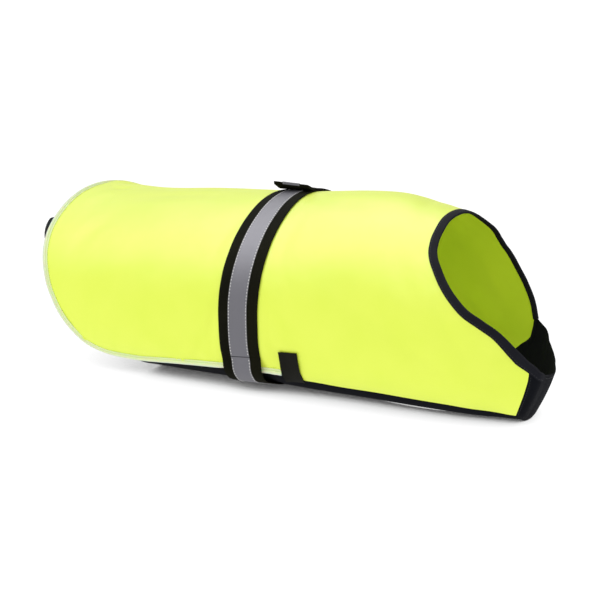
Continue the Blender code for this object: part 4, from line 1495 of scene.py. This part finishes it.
@dataclass
class ChestBand:
    """Black band round the front of the chest, between the back panel's two chest edges."""

    form: ChestForm
    thickness: float = 0.7 * MM
    columns: int = 90
    rows: int = 30
    foot_tuck: float = 0.8 * MM         # how far its foot goes in behind the under panel
    crumple: float = 0.5 * MM           # how unevenly its seam allowances are cut
    cut: Cut = Cut(0.056, 0.150, 0.0078)

    FOLDS = (                   # place along the band, width and depth of its soft folds
        (0.045, 0.016, 0.0004),
        (0.105, 0.022, -0.0004),
        (0.190, 0.030, 0.0005),
        (0.300, 0.040, -0.0003),
        (0.430, 0.045, 0.0004),
        (0.590, 0.040, -0.0003),
        (0.740, 0.036, 0.0004),
        (0.880, 0.030, -0.0003),
    )

    def add_allowance(self, shape: Shape, edge: Array, across: Array, width: Array, layer: float) -> None:
        """Add the seam allowance that lies inside along a sewn edge.

        Args:
            shape: The band.
            edge: Marks along the edge.
            across: The step in ring coordinates that leads a metre in from the edge, by mark.
            width: The strip's width by mark.
            layer: How far out its outer face lies.
        """
        outline = np.array([[-0.25, 0.0], [0.5, 0.0], [1.0, -0.05], [1.0, -0.45], [0.5, -0.6],
                            [-0.25, -0.6]])
        inward = outline[:, 0] * width[:, None]
        marks = edge[:, None] + across[:, None] * inward[..., None]
        rings = BODY.skin(marks, layer + outline[:, 1] * MM)
        shape.add_sweep(rings, cloth_places(arc(rings.mean(1))[:, None], inward))

    def add_allowances(self, shape: Shape) -> None:
        """Add the seam allowances at both sides and at the foot.

        Args:
            shape: The band.
        """
        parts = even_parts(60)
        crumple = self.crumple * waves(parts, 0.31, 1.3)
        for marks, wide in ((RIGHT_CHEST_EDGE, 4.0 * MM + 0.0 * parts),
                            (LEFT_CHEST_EDGE, (3.4 + 4.6 * ease((parts - 0.35) / 0.5)) * MM)):
            edge = Track(marks).marks(parts)
            self.add_allowance(shape, edge, inward_steps(edge, 3), wide + crumple, 0.55 * MM)
        angle = np.linspace(FOOT_START, FOOT_END, 60)
        foot = at(PANEL_FRONT_AT(-angle), angle)
        back = np.broadcast_to(np.array([-1.0, 0.0]), foot.shape)
        self.add_allowance(shape, foot, back, 5.0 * MM + crumple, -0.85 * MM)

    def build(self) -> None:
        """Make the band."""
        part, up = np.meshgrid(even_parts(self.columns), even_parts(self.rows), indexing="ij")
        relief = np.zeros(part.shape)
        for place, width, depth in self.FOLDS:
            leaning = part - place - 0.03 * (up - 0.5)
            relief -= depth * np.exp(-(leaning / width) ** 2)
        relief = relief * ease(part / 0.02) * ease((1.0 - part) / 0.02) * ease(up / 0.15)
        relief -= self.foot_tuck * (1.0 - ease(up / 0.10))
        outer = self.form.point(part, up, CLOTH + relief)
        inner = self.form.point(part, up, CLOTH + relief - self.thickness)
        shape = Shape("chest_band_cloth")
        shape.add_wall(outer, inner)
        self.add_allowances(shape)
        thing = shape.make([BLACK_CLOTH.material()])
        stitches = Stitches("chest_stitches", BLACK_THREAD)
        height = np.linspace(0.04, 0.86, 120)
        for place in (0.018, 0.982):
            spots = self.form.point(np.full(120, place), height, CLOTH + 0.05 * MM)
            beyond = self.form.point(np.full(120, place), height, CLOTH + 1.0 * MM)
            stitches.add_row(spots, beyond - spots)
        across = np.linspace(0.17, 0.985, 200)
        spots = self.form.below_rim(across, 3.0 * MM, CLOTH + 0.15 * MM)
        beyond = self.form.below_rim(across, 3.0 * MM, CLOTH + 1.0 * MM)
        stitches.add_row(spots, beyond - spots)
        put_in_place(thing, "chest_band", self.cut, [stitches.make("chest_band")])


@dataclass
class NeckBinding:
    """Binding folded over the neck edge, from on the chest band round to the left seam."""

    form: ChestForm
    thickness: float = 0.55 * MM
    outer_leg: float = 6.3 * MM
    inner_leg: float = 4.4 * MM
    fold_edge: float = -1.25 * MM
    outer_layer: float = CLOTH + 0.15 * MM
    inner_layer: float = -0.05 * MM
    chest_share: float = 3.0 / 20.0
    stitch_inset: float = 4.9 * MM
    seam_number: int = 2                # which point of the outline the stitches run on
    chest_widening: float = 1.25        # its width at the chest corner against elsewhere
    widening_reach: float = 0.045
    bend_start: float = 0.2 * MM        # how far in from the edge its fold begins to turn
    wander: float = 0.18 * MM           # how unevenly it is laid along the edge
    ripple: float = 0.10 * MM
    blend_in: int = 6                   # rings over which it passes from the rim to the neck edge
    cut: Cut = Cut(0.0150, 0.420, held="folded")

    LEG_LIFTS = (-0.10, 0.02, -0.14, 0.04, 0.10, 0.05)     # mm, down its outer leg

    def profile(self) -> tuple[Array, Array]:
        """Shape the binding's closed outline, from its outer edge round the fold and back.

        Returns:
            How far in each of its points lies, and how far out.
        """
        mid = 0.5 * (self.outer_layer + self.inner_layer)
        outlines = []
        for offset in (self.thickness, 0.0):
            top, bottom = self.outer_layer + offset, self.inner_layer - offset
            turns = np.linspace(0.0, math.pi, 9)
            reach = -self.fold_edge - (self.thickness - offset) + self.bend_start
            bend_in = self.bend_start - reach * np.sin(turns)
            bend_layer = mid + 0.5 * (top - bottom) * np.cos(turns)
            leg = np.array([self.outer_leg, self.stitch_inset + 0.7 * MM, self.stitch_inset,
                            self.stitch_inset - 0.8 * MM, 2.6 * MM, 1.2 * MM])
            lift = np.array(self.LEG_LIFTS) * MM
            outlines.append(np.stack([
                np.concatenate([leg, bend_in, [1.5 * MM, 3.0 * MM, self.inner_leg]]),
                np.concatenate([top + lift, bend_layer, [bottom, bottom, bottom]]),
            ], -1))
        loop = np.concatenate([outlines[0], outlines[1][::-1]])
        return loop[:, 0], loop[:, 1]

    def rings(self, stations: int = 260, chest_stations: int = 26) -> tuple[Array, Array]:
        """Lay the outline along the chest band's rim and the neck edge.

        Args:
            stations: How many rings the neck edge has.
            chest_stations: How many the chest band's rim has.

        Returns:
            The rings of points, and the distance along the edge at each.
        """
        inward, layer = self.profile()
        parts = np.linspace(self.chest_share, 0.0, chest_stations)[:, None]
        wide = np.where(inward > 0.0, inward * self.chest_widening, inward)
        widening = wide - inward
        grow = 1.0 - parts / self.chest_share
        part, down, out = np.broadcast_arrays(parts, inward[None] + widening[None] * grow, layer[None])
        chest = self.form.below_rim(part, down, out)
        edge = Track(NECK_EDGE).marks(even_parts(stations))
        steps = inward_steps(edge, stations // 40)
        place = arc(BODY.point(edge))
        wander = self.wander * waves(place, 31.0 * MM, 0.7)
        shrink = 1.0 - ease(place / self.widening_reach)
        reach = inward[None] + widening[None] * shrink[:, None] + wander[:, None]
        marks = edge[:, None] + steps[:, None] * reach[..., None]
        ripple = self.ripple * waves(place, 17.0 * MM, 2.3)[:, None]
        neck = BODY.skin(marks, layer[None] + ripple)
        weight = ease(np.arange(1, self.blend_in + 1) / (self.blend_in + 1.0))[:, None, None]
        first = neck[1:self.blend_in + 1]
        neck[1:self.blend_in + 1] = first * weight + (chest[-1] + (first - neck[0])) * (1.0 - weight)
        rings = np.concatenate([chest, neck[1:]])
        return rings, arc(rings.mean(1))

    def build(self) -> None:
        """Make the binding and its row of stitches."""
        rings, place = self.rings()
        inward, _ = self.profile()
        shape = Shape("neck_binding_tape")
        shape.add_sweep(rings, cloth_places(place[:, None], inward[None]))
        thing = shape.make([BINDING_TAPE.material()], sharp=60.0)
        stitches = Stitches("binding_stitches", BLACK_THREAD, pitch=2.6 * MM)
        seam = self.seam_number
        stitches.add_row(rings[:, seam], rings[:, seam] - rings[:, -1 - seam])
        put_in_place(thing, "neck_binding", self.cut,
                     [stitches.make("neck_binding")])


@dataclass
class LightPiping:
    """Light tube along the lower edges behind the belt and round the tail."""

    radius: float = 2.05 * MM
    over_panel: float = 1.9 * MM
    at_tail: float = 0.9 * MM
    lift_start: float = -0.170
    lift_end: float = -0.140
    last_step: float = 4.0 * MM
    sides: int = 20
    stations: int = 420
    sleeve_turn: float = 0.9            # the turn that gives the flap the sleeve's painted bounce colour
    gap: float = 0.1 * MM
    pinch: float = 0.03                 # how unevenly thick its sleeve makes it

    def edge(self) -> Array:
        """Walk the edge that it is sewn to.

        Returns:
            Marks from the right side round the tail to the left one.
        """
        first, last = (Mark(PIPING_END, float(lower(PIPING_END)))
                       for lower in (BODY.right_lower, BODY.left_lower))
        route = [first, *piped_edge(PIPING_END - self.last_step), last]
        return Track(route).marks(even_parts(self.stations))

    def add_sleeve(self, shape: Shape, place: Array) -> None:
        """Add the thin flap of the tube's sleeve that is sewn onto the panel.

        Args:
            shape: The tube.
            place: The distance along it at each mark.
        """
        marks = self.edge()
        inward = np.array([-0.8, 0.4, 1.2, 1.5, 1.5, -0.8]) * MM
        layer = CLOTH + np.array([0.40, 0.45, 0.38, 0.20, -0.30, -0.30]) * MM
        spots = marks[:, None] + inward_steps(marks, 3)[:, None] * inward[None, :, None]
        rings = BODY.skin(spots, np.broadcast_to(layer, spots.shape[:2]))
        turn = np.full(rings.shape[:2], self.sleeve_turn)
        shape.add_sweep(rings, cloth_places(place[:, None], turn))

    def centres(self) -> tuple[Array, Array, Array]:
        """Lay the tube's middle line beside the edge.

        Returns:
            Its points, the way out from the body there, and the way in to the cloth.
        """
        marks = self.edge()
        lift = ease((marks[:, 0] - self.lift_start) / (self.lift_end - self.lift_start))
        layer = self.at_tail + (self.over_panel - self.at_tail) * lift
        steps = inward_steps(marks, 3)
        beside = marks - steps * (self.radius + self.gap)
        centres = BODY.skin(beside, layer)
        inward = unit(BODY.skin(marks + steps * self.radius, layer) - centres)
        return centres, BODY.outward(beside), inward

    def build(self) -> None:
        """Make the tube."""
        centres, out, inward = self.centres()
        along = unit(np.gradient(centres, axis=0))
        inward = unit(inward - along * (inward * along).sum(-1, keepdims=True))
        up = unit(np.cross(inward, along))
        up = np.where(((up * out).sum(-1) < 0.0)[:, None], -up, up)
        turns = 2.0 * math.pi * np.arange(self.sides) / self.sides
        spread = inward[:, None] * np.cos(turns)[None, :, None] + up[:, None] * np.sin(turns)[None, :, None]
        place = arc(centres)
        pinch = 1.0 - self.pinch * (0.5 + 0.5 * waves(place, 11.0 * MM, 0.9))
        rings = on_floor(centres[:, None] + spread * (self.radius * pinch)[:, None, None])
        shape = Shape("light_tube")
        shape.add_sweep(rings, cloth_places(place[:, None], np.cos(turns)[None]))
        self.add_sleeve(shape, place)
        thing = shape.make([LIGHT_TUBE.material()], sharp=60.0)
        put_in_place(thing, "light_piping", None)


class Ribbon(NamedTuple):
    """A stretch of webbing or tape round the body at the belt."""

    piece: str
    node: str
    start: float
    end: float
    layer: Callable[[Array], Array]
    cut: Cut


@dataclass
class Belts:
    """Webbing over the back, the longer piece that closes on top of it, and their tapes."""

    tape: float = 0.40 * MM
    under_tape: float = 0.12 * MM
    join_angle: float = -113.0
    join_radius: float = 0.100
    back_end: float = 58.0
    back_tape_end: float = 2.5
    right_tape_end: float = -142.0
    left_tape_start: float = -214.0
    twist: float = 1.7 * MM
    twist_start: float = -354.0
    twist_end: float = -369.0
    selvedge: float = 0.30              # share of the thickness that rounds off at each edge
    stitch_inset: float = 0.85 * MM
    hem: float = 2.4 * MM               # how much thicker the turned-under free end is
    hem_start: float = -357.0
    hem_end: float = -363.0
    turned_over: float = 2.2 * MM       # length of tape that laps the free end
    lap_gap: float = 0.1 * MM
    edge_wave: float = 0.12 * MM        # how unevenly its edges run
    ring_turn: float = 0.75             # degrees between rings

    ROWS = (            # angle, and how far the belly belt's inner face lies out from the body
        (-113.0, 0.0015), (-115.0, 0.0020), (-118.5, 0.0050), (-121.0, 0.0062), (-124.0, 0.0064),
        (-127.0, 0.0052), (-131.0, 0.0024), (-137.0, 0.0009), (-150.0, 0.0002), (-158.0, 0.0000),
        (-202.0, 0.0000), (-210.0, 0.0003), (-226.0, 0.0024), (-235.0, 0.0042), (-239.0, 0.0045),
        (-241.5, 0.0043), (-246.0, 0.0020), (-249.0, 0.0015), (-290.0, 0.0015), (-299.0, 0.0030),
        (-344.0, 0.0030), (-354.0, 0.0030), (-358.0, 0.0036), (-361.0, 0.0048), (-365.0, 0.0078),
        (-368.0, 0.0106),
    )
    DRIFTS = (          # angle, and how far the belt wanders along the back
        (60.0, -0.0010), (0.0, -0.0016), (-20.0, -0.0006), (-40.0, 0.0005), (-60.0, 0.0001),
        (-80.0, -0.0010), (-95.0, -0.0016), (-110.0, -0.0014), (-130.0, 0.0000), (-300.0, 0.0000),
        (-335.0, -0.0042), (-350.0, -0.0042), (-368.0, -0.0008),
    )

    def __post_init__(self) -> None:
        """Lay smooth lines through the tables."""
        self.belly_layer_at, self.drift_at = (
            SmoothLine([(-angle, value) for angle, value in rows]) for rows in (self.ROWS, self.DRIFTS))

    def back_layer(self, marks: Array) -> Array:
        """Return the back belt's inner layer."""
        return np.full(marks.shape[:-1], CLOTH + SEAM_GAP)

    def belly_layer(self, marks: Array) -> Array:
        """Find the belly belt's inner layer, with its free end curled up at the spine.

        Args:
            marks: Marks to look at.

        Returns:
            How far out it lies.
        """
        x, angle = marks[..., 0], marks[..., 1]
        lift = ease((angle - self.twist_start) / (self.twist_end - self.twist_start))
        return self.belly_layer_at(-angle) - self.twist * lift * x / (0.5 * BELT_WIDTH)

    def ribbons(self) -> tuple[Ribbon, ...]:
        """List what the belt is made of.

        Returns:
            The two stretches of webbing and the three of tape.
        """
        gap = math.degrees(0.5 * BUTT_GAP / self.join_radius)
        last = self.ROWS[-1][0]
        above, below = self.join_angle + gap, self.join_angle - gap
        return (
            Ribbon("back_belt_webbing", "back_belt", above, self.back_end, self.back_layer,
                   Cut(BELT_WIDTH, 0.313, held="stretched")),
            Ribbon("belly_belt_webbing", "belly_belt", below, last, self.belly_layer,
                   Cut(BELT_WIDTH, 0.477, held="stretched")),
            Ribbon("back_belt_reflector", "back_belt_tape", above + 0.15, self.back_tape_end,
                   self.back_layer, Cut(TAPE_WIDTH, 0.211, held="laid")),
            Ribbon("belly_belt_reflector_right", "belly_belt_tape_right", below - 0.15,
                   self.right_tape_end, self.belly_layer, Cut(TAPE_WIDTH, 0.063, held="laid")),
            Ribbon("belly_belt_reflector_left", "belly_belt_tape_left", self.left_tape_start,
                   last, self.belly_layer, Cut(TAPE_WIDTH, 0.305, held="laid")),
        )

    def place(self, ribbon: Ribbon, angles: Array, x: Array, height: Array) -> Array:
        """Place points of a ribbon.

        Args:
            ribbon: The stretch of webbing or tape.
            angles: The points' angles.
            x: Their offsets along the back.
            height: Their heights off the webbing's inner face.

        Returns:
            Points in metres from the middle of the belt.
        """
        bare = at(x, angles)
        layer = ribbon.layer(bare) + height
        return BODY.skin(at(x + self.drift_at(-angles), angles), layer)

    def strip(self, ribbon: Ribbon, width: float, base: float, thickness: float,
              rounding: float) -> tuple[Array, Array]:
        """Return a ribbon's closed rings and their cloth coordinates.

        Args:
            ribbon: The stretch of webbing or tape.
            width: Its width.
            base: How far its underside lies off the webbing's inner face.
            thickness: Its thickness.
            rounding: The share of its thickness that each edge rounds off.

        Returns:
            Points and cloth coordinates, by ring and by place round it.
        """
        shares = np.array([-0.5, -0.492, -0.47, -0.40, -0.25, -0.08, 0.08, 0.25, 0.40, 0.47, 0.492, 0.5])
        off = rounding * thickness * np.abs(2.0 * shares) ** 24
        offsets = np.concatenate([shares, shares[::-1]]) * width
        heights = base + np.concatenate([thickness - off, off[::-1]])
        count = max(int(abs(ribbon.end - ribbon.start) / self.ring_turn), 12)
        angles = np.linspace(ribbon.start, ribbon.end, count)
        edge_wave = self.edge_wave * waves(angles, 17.0, width) * (rounding > 0.0)
        x, angle = np.broadcast_arrays(offsets[None], angles[:, None])
        if rounding:
            under = self.hem * ease((angles - self.hem_start) / (self.hem_end - self.hem_start))
            below = np.arange(len(offsets)) >= len(shares)
            heights = heights - under[:, None] * below * (ribbon.node == "belly_belt")
        rings = self.place(ribbon, angle, x + edge_wave[:, None], np.broadcast_to(heights, x.shape))
        if not rounding and ribbon.end == self.ROWS[-1][0]:
            rings = np.concatenate([rings, self.lap(rings, len(shares))])
        return rings, cloth_places(arc(rings[:, 3])[:, None], offsets[None])

    def lap(self, rings: Array, columns: int) -> Array:
        """Return the rings that carry a tape on round the webbing's free end.

        Args:
            rings: The tape's rings up to the end.
            columns: How many points of a ring are on its outer face.

        Returns:
            The rings that follow.
        """
        last = rings[-1]
        ahead = unit(last - rings[-2])
        outer, inner = last[:columns], last[columns:][::-1]
        out = unit(outer - inner)
        depth = np.linalg.norm(outer - inner, axis=-1, keepdims=True)
        ahead = np.concatenate([ahead[:columns], ahead[columns:][::-1]])
        following = []
        for turn, drop in ((30.0, 0.0), (60.0, 0.0), (90.0, 0.0), (90.0, 0.5), (90.0, 1.0)):
            cos, sin = math.cos(math.radians(turn)), math.sin(math.radians(turn))
            shift = -out * (self.turned_over * drop)
            away = ahead[:columns] * sin + out * cos
            far = inner + away * (depth + self.lap_gap) + shift
            near = inner + away * self.lap_gap + shift
            following.append(np.concatenate([far, near[::-1]]))
        return np.array(following)

    def build(self) -> None:
        """Make the webbing, the tapes and the tapes' stitches."""
        webbing, reflective = BLACK_WEBBING.material(), REFLECTIVE_TAPE.material()
        for ribbon in self.ribbons():
            taped = ribbon.node.count("tape") > 0
            shape = Shape(ribbon.piece)
            if taped:
                shape.add_sweep(*self.strip(ribbon, TAPE_WIDTH, WEBBING + self.under_tape, self.tape, 0.0))
                thing = shape.make([reflective])
                stitches = Stitches(ribbon.piece + "_stitches", GREY_THREAD, pitch=2.9 * MM,
                                    length=1.7 * MM, width=0.80 * MM, height=0.42 * MM)
                for sign in (-1.0, 1.0):
                    self.sew(stitches, ribbon, sign * (0.5 * TAPE_WIDTH - self.stitch_inset))
                carrier = "back_belt_webbing" if "back" in ribbon.node else "belly_belt_webbing"
                put_in_place(thing, ribbon.node, ribbon.cut, [stitches.make(ribbon.node)])
            else:
                shape.add_sweep(*self.strip(ribbon, BELT_WIDTH, 0.0, WEBBING, self.selvedge))
                thing = shape.make([webbing], sharp=70.0)
                put_in_place(thing, ribbon.node, ribbon.cut)

    def sew(self, stitches: Stitches, ribbon: Ribbon, offset: float) -> None:
        """Sew a row along a tape.

        Args:
            stitches: The rows that it joins.
            ribbon: The tape.
            offset: How far from the tape's middle the row runs.
        """
        angles = np.linspace(ribbon.start, ribbon.end, 500)
        height = WEBBING + self.under_tape + self.tape
        x = np.full(500, offset)
        spots = self.place(ribbon, angles, x, np.full(500, height + 0.06 * MM))
        beyond = self.place(ribbon, angles, x, np.full(500, height + 1.0 * MM))
        stitches.add_row(spots, beyond - spots)


@dataclass
class SideLabel:
    """Plain woven label sewn into the right lower edge where the light tube ends."""

    start_x: float = 0.0366
    end_x: float = 0.0560
    low: float = -129.5
    high: float = -110.5
    thickness: float = 0.7 * MM
    columns: int = 24
    rows: int = 44
    cut: Cut = Cut(0.0194, 0.0345, held="laid")

    def build(self) -> None:
        """Make the label, a little lifted along its free edges."""
        across, down = np.meshgrid(even_parts(self.columns), even_parts(self.rows))
        x = self.start_x + (self.end_x - self.start_x) * across
        marks = at(x, self.high + (self.low - self.high) * down)
        side = np.abs(2.0 * across - 1.0)
        lift = 0.35 * MM * side ** 4 * (0.4 + 0.6 * down) + 0.25 * MM * np.sin(9.0 * down) ** 2 * side
        fold = 0.25 * MM * np.exp(-(down / 0.06) ** 2)
        base = CLOTH + SEAM_GAP + lift + fold
        shape = Shape("side_label_woven")
        shape.add_wall(BODY.skin(marks, base + self.thickness), BODY.skin(marks, base))
        thing = shape.make([LABEL_SATIN.material()])
        put_in_place(thing, "side_label", self.cut)


@dataclass
class TailStrap:
    """Elastic strap that bows behind the tail edge, from one side's inner face to the other's."""

    angle: float = 53.0
    bow: float = 0.0586
    drop: float = 0.022
    bow_fullness: float = 0.90          # below 1 it bows more evenly
    inner_layer: float = -2.0 * MM
    under_piping_layer: float = -2.6 * MM
    width: float = 0.024
    tuck: float = 0.018
    thickness: float = 1.1 * MM
    cup: float = 2.6 * MM               # how far its two edges curl in
    tuck_steps: int = 12
    steps: int = 144
    cut: Cut = Cut(0.024, 0.280, held="stretched")

    def line(self) -> tuple[Array, Array]:
        """Bow the strap from one side to the other.

        Returns:
            Its middle line, and which way its width lies at each point.
        """
        hem_x = float(SmoothLine([(mark.angle, mark.x) for mark in TAIL_EDGE])(-self.angle))
        _, around = BODY.slopes(np.array([hem_x, -self.angle]))
        slope = unit(around)
        out = np.arange(self.tuck_steps) / self.tuck_steps
        layer = self.inner_layer + (self.under_piping_layer - self.inner_layer) * out
        tucked = BODY.skin(at(hem_x + self.tuck * (1.0 - out), -self.angle), layer)
        anchor = BODY.skin(np.array([hem_x, -self.angle]), self.under_piping_layer)
        turns = 0.5 * math.pi * (2.0 * np.arange(self.steps // 2 + 1) / self.steps - 1.0)
        bow = np.cos(turns) ** self.bow_fullness
        free = np.stack([hem_x - self.bow * bow, -anchor[1] * np.sin(turns),
                         anchor[2] - self.drop * bow], -1)
        widths = slope + (np.array([0.0, 0.0, 1.0]) - slope) * bow[:, None]
        half = np.concatenate([tucked, free])
        half_widths = np.concatenate([np.tile(slope, (self.tuck_steps, 1)), widths])
        other_side = np.array([1.0, -1.0, 1.0])
        line = np.concatenate([half, half[-2::-1] * other_side])
        return line, np.concatenate([half_widths, half_widths[-2::-1] * other_side])

    def build(self) -> None:
        """Make the strap."""
        line, widths = self.line()
        along = unit(np.gradient(line, axis=0))
        width = unit(widths - along * (widths * along).sum(-1, keepdims=True))
        out = np.cross(along, width)
        shares = np.array([-0.5, -0.485, -0.45, -0.35, -0.2, 0.0, 0.2, 0.35, 0.45, 0.485, 0.5])
        half = 0.5 * self.thickness * (1.0 - 0.6 * np.abs(2.0 * shares) ** 20)
        across = np.concatenate([shares, shares[::-1]]) * self.width
        height = np.concatenate([half, -half[::-1]])
        out = out * np.where(out[len(out) // 2, 0] > 0.0, -1.0, 1.0)
        free = ease(arc(line) / self.tuck - 1.0)
        free = np.minimum(free, free[::-1])
        cupped = height[None] - self.cup * free[:, None] * (2.0 * across[None] / self.width) ** 2
        rings = line[:, None] + width[:, None] * across[None, :, None] + out[:, None] * cupped[..., None]
        shape = Shape("tail_strap_elastic")
        shape.add_sweep(rings, cloth_places(across[None], arc(line)[:, None]))
        thing = shape.make([BLACK_ELASTIC.material()], sharp=70.0)
        put_in_place(thing, "tail_strap", self.cut)


# Studio.


class Lamp(NamedTuple):
    """A soft square light."""

    name: str
    place: tuple[float, float, float]
    size: float
    power: float
    glossy_only: bool


@dataclass
class Studio:
    """White floor, soft lights and the camera."""

    floor_half: float = 12.0
    azimuth: float = 31.465
    elevation: float = 13.10
    distance: float = 1.0093
    target: tuple[float, float, float] = (0.0154, 0.0, 0.0709)
    lens: float = 60.65
    sensor: float = 36.0
    sky_light: float = 0.84
    white: float = 1.12                 # what the camera sees behind the floor's edge

    LAMPS = (
        Lamp("top_light", (0.00, -0.25, 1.45), 2.2, 66.0, True),
        Lamp("front_light", (-0.90, -1.20, 1.10), 0.9, 4.2, False),
    )

    def build_floor(self) -> None:
        """Make the floor."""
        half = self.floor_half
        mesh = bpy.data.meshes.new("floor")
        corners = [(-half, -half, 0.0), (half, -half, 0.0), (half, half, 0.0), (-half, half, 0.0)]
        mesh.from_pydata(corners, [], [(0, 1, 2, 3)])
        mesh.materials.append(WHITE_FLOOR.material())
        in_scene("floor", mesh)

    def build_lights(self) -> None:
        """Make the world's light and the lamps, which point at the vest."""
        world = bpy.data.worlds.new("studio")
        world.use_nodes = True
        tree = world.node_tree
        background = tree.nodes["Background"]
        seen = tree.nodes.new("ShaderNodeLightPath")
        strength = tree.nodes.new("ShaderNodeMapRange")
        strength.inputs["To Min"].default_value = self.sky_light
        strength.inputs["To Max"].default_value = self.white
        tree.links.new(seen.outputs["Is Camera Ray"], strength.inputs["Value"])
        tree.links.new(strength.outputs["Result"], background.inputs["Strength"])
        background.inputs["Color"].default_value = (1.0, 1.0, 1.0, 1.0)
        bpy.context.scene.world = world
        for lamp in self.LAMPS:
            data = bpy.data.lights.new(lamp.name, "AREA")
            data.shape, data.size, data.energy = "SQUARE", lamp.size, lamp.power
            light = in_scene(lamp.name, data)
            light.location = lamp.place
            aim = Vector(self.target) - Vector(lamp.place)
            light.rotation_euler = aim.to_track_quat("-Z", "Y").to_euler()
            light.visible_diffuse = not lamp.glossy_only

    def build_camera(self) -> None:
        """Make the camera at the photograph's angle."""
        turn, rise = math.radians(self.azimuth), math.radians(self.elevation)
        back = Vector((math.sin(turn) * math.cos(rise), -math.cos(turn) * math.cos(rise),
                       math.sin(rise)))
        data = bpy.data.cameras.new("camera")
        data.lens, data.sensor_width = self.lens, self.sensor
        data.clip_start, data.clip_end = 0.05, 60.0
        camera = in_scene("camera", data)
        camera.location = Vector(self.target) + back * self.distance
        camera.rotation_euler = back.to_track_quat("Z", "Y").to_euler()
        bpy.context.scene.camera = camera

    def build(self) -> None:
        """Make the studio."""
        self.build_camera()
        self.build_floor()
        self.build_lights()
        bpy.context.scene.view_settings.view_transform = "Standard"


def main() -> None:
    """Build the studio and every piece of the vest."""
    logging.basicConfig(level=logging.INFO, format="%(message)s", stream=sys.stdout)
    Studio().build()
    chest = ChestForm()
    for piece in (BackPanel(), UnderPanel(), ChestBand(chest), NeckBinding(chest), LightPiping(),
                  Belts(), SideLabel(), TailStrap()):
        piece.build()


if __name__ == "__main__":
    main()
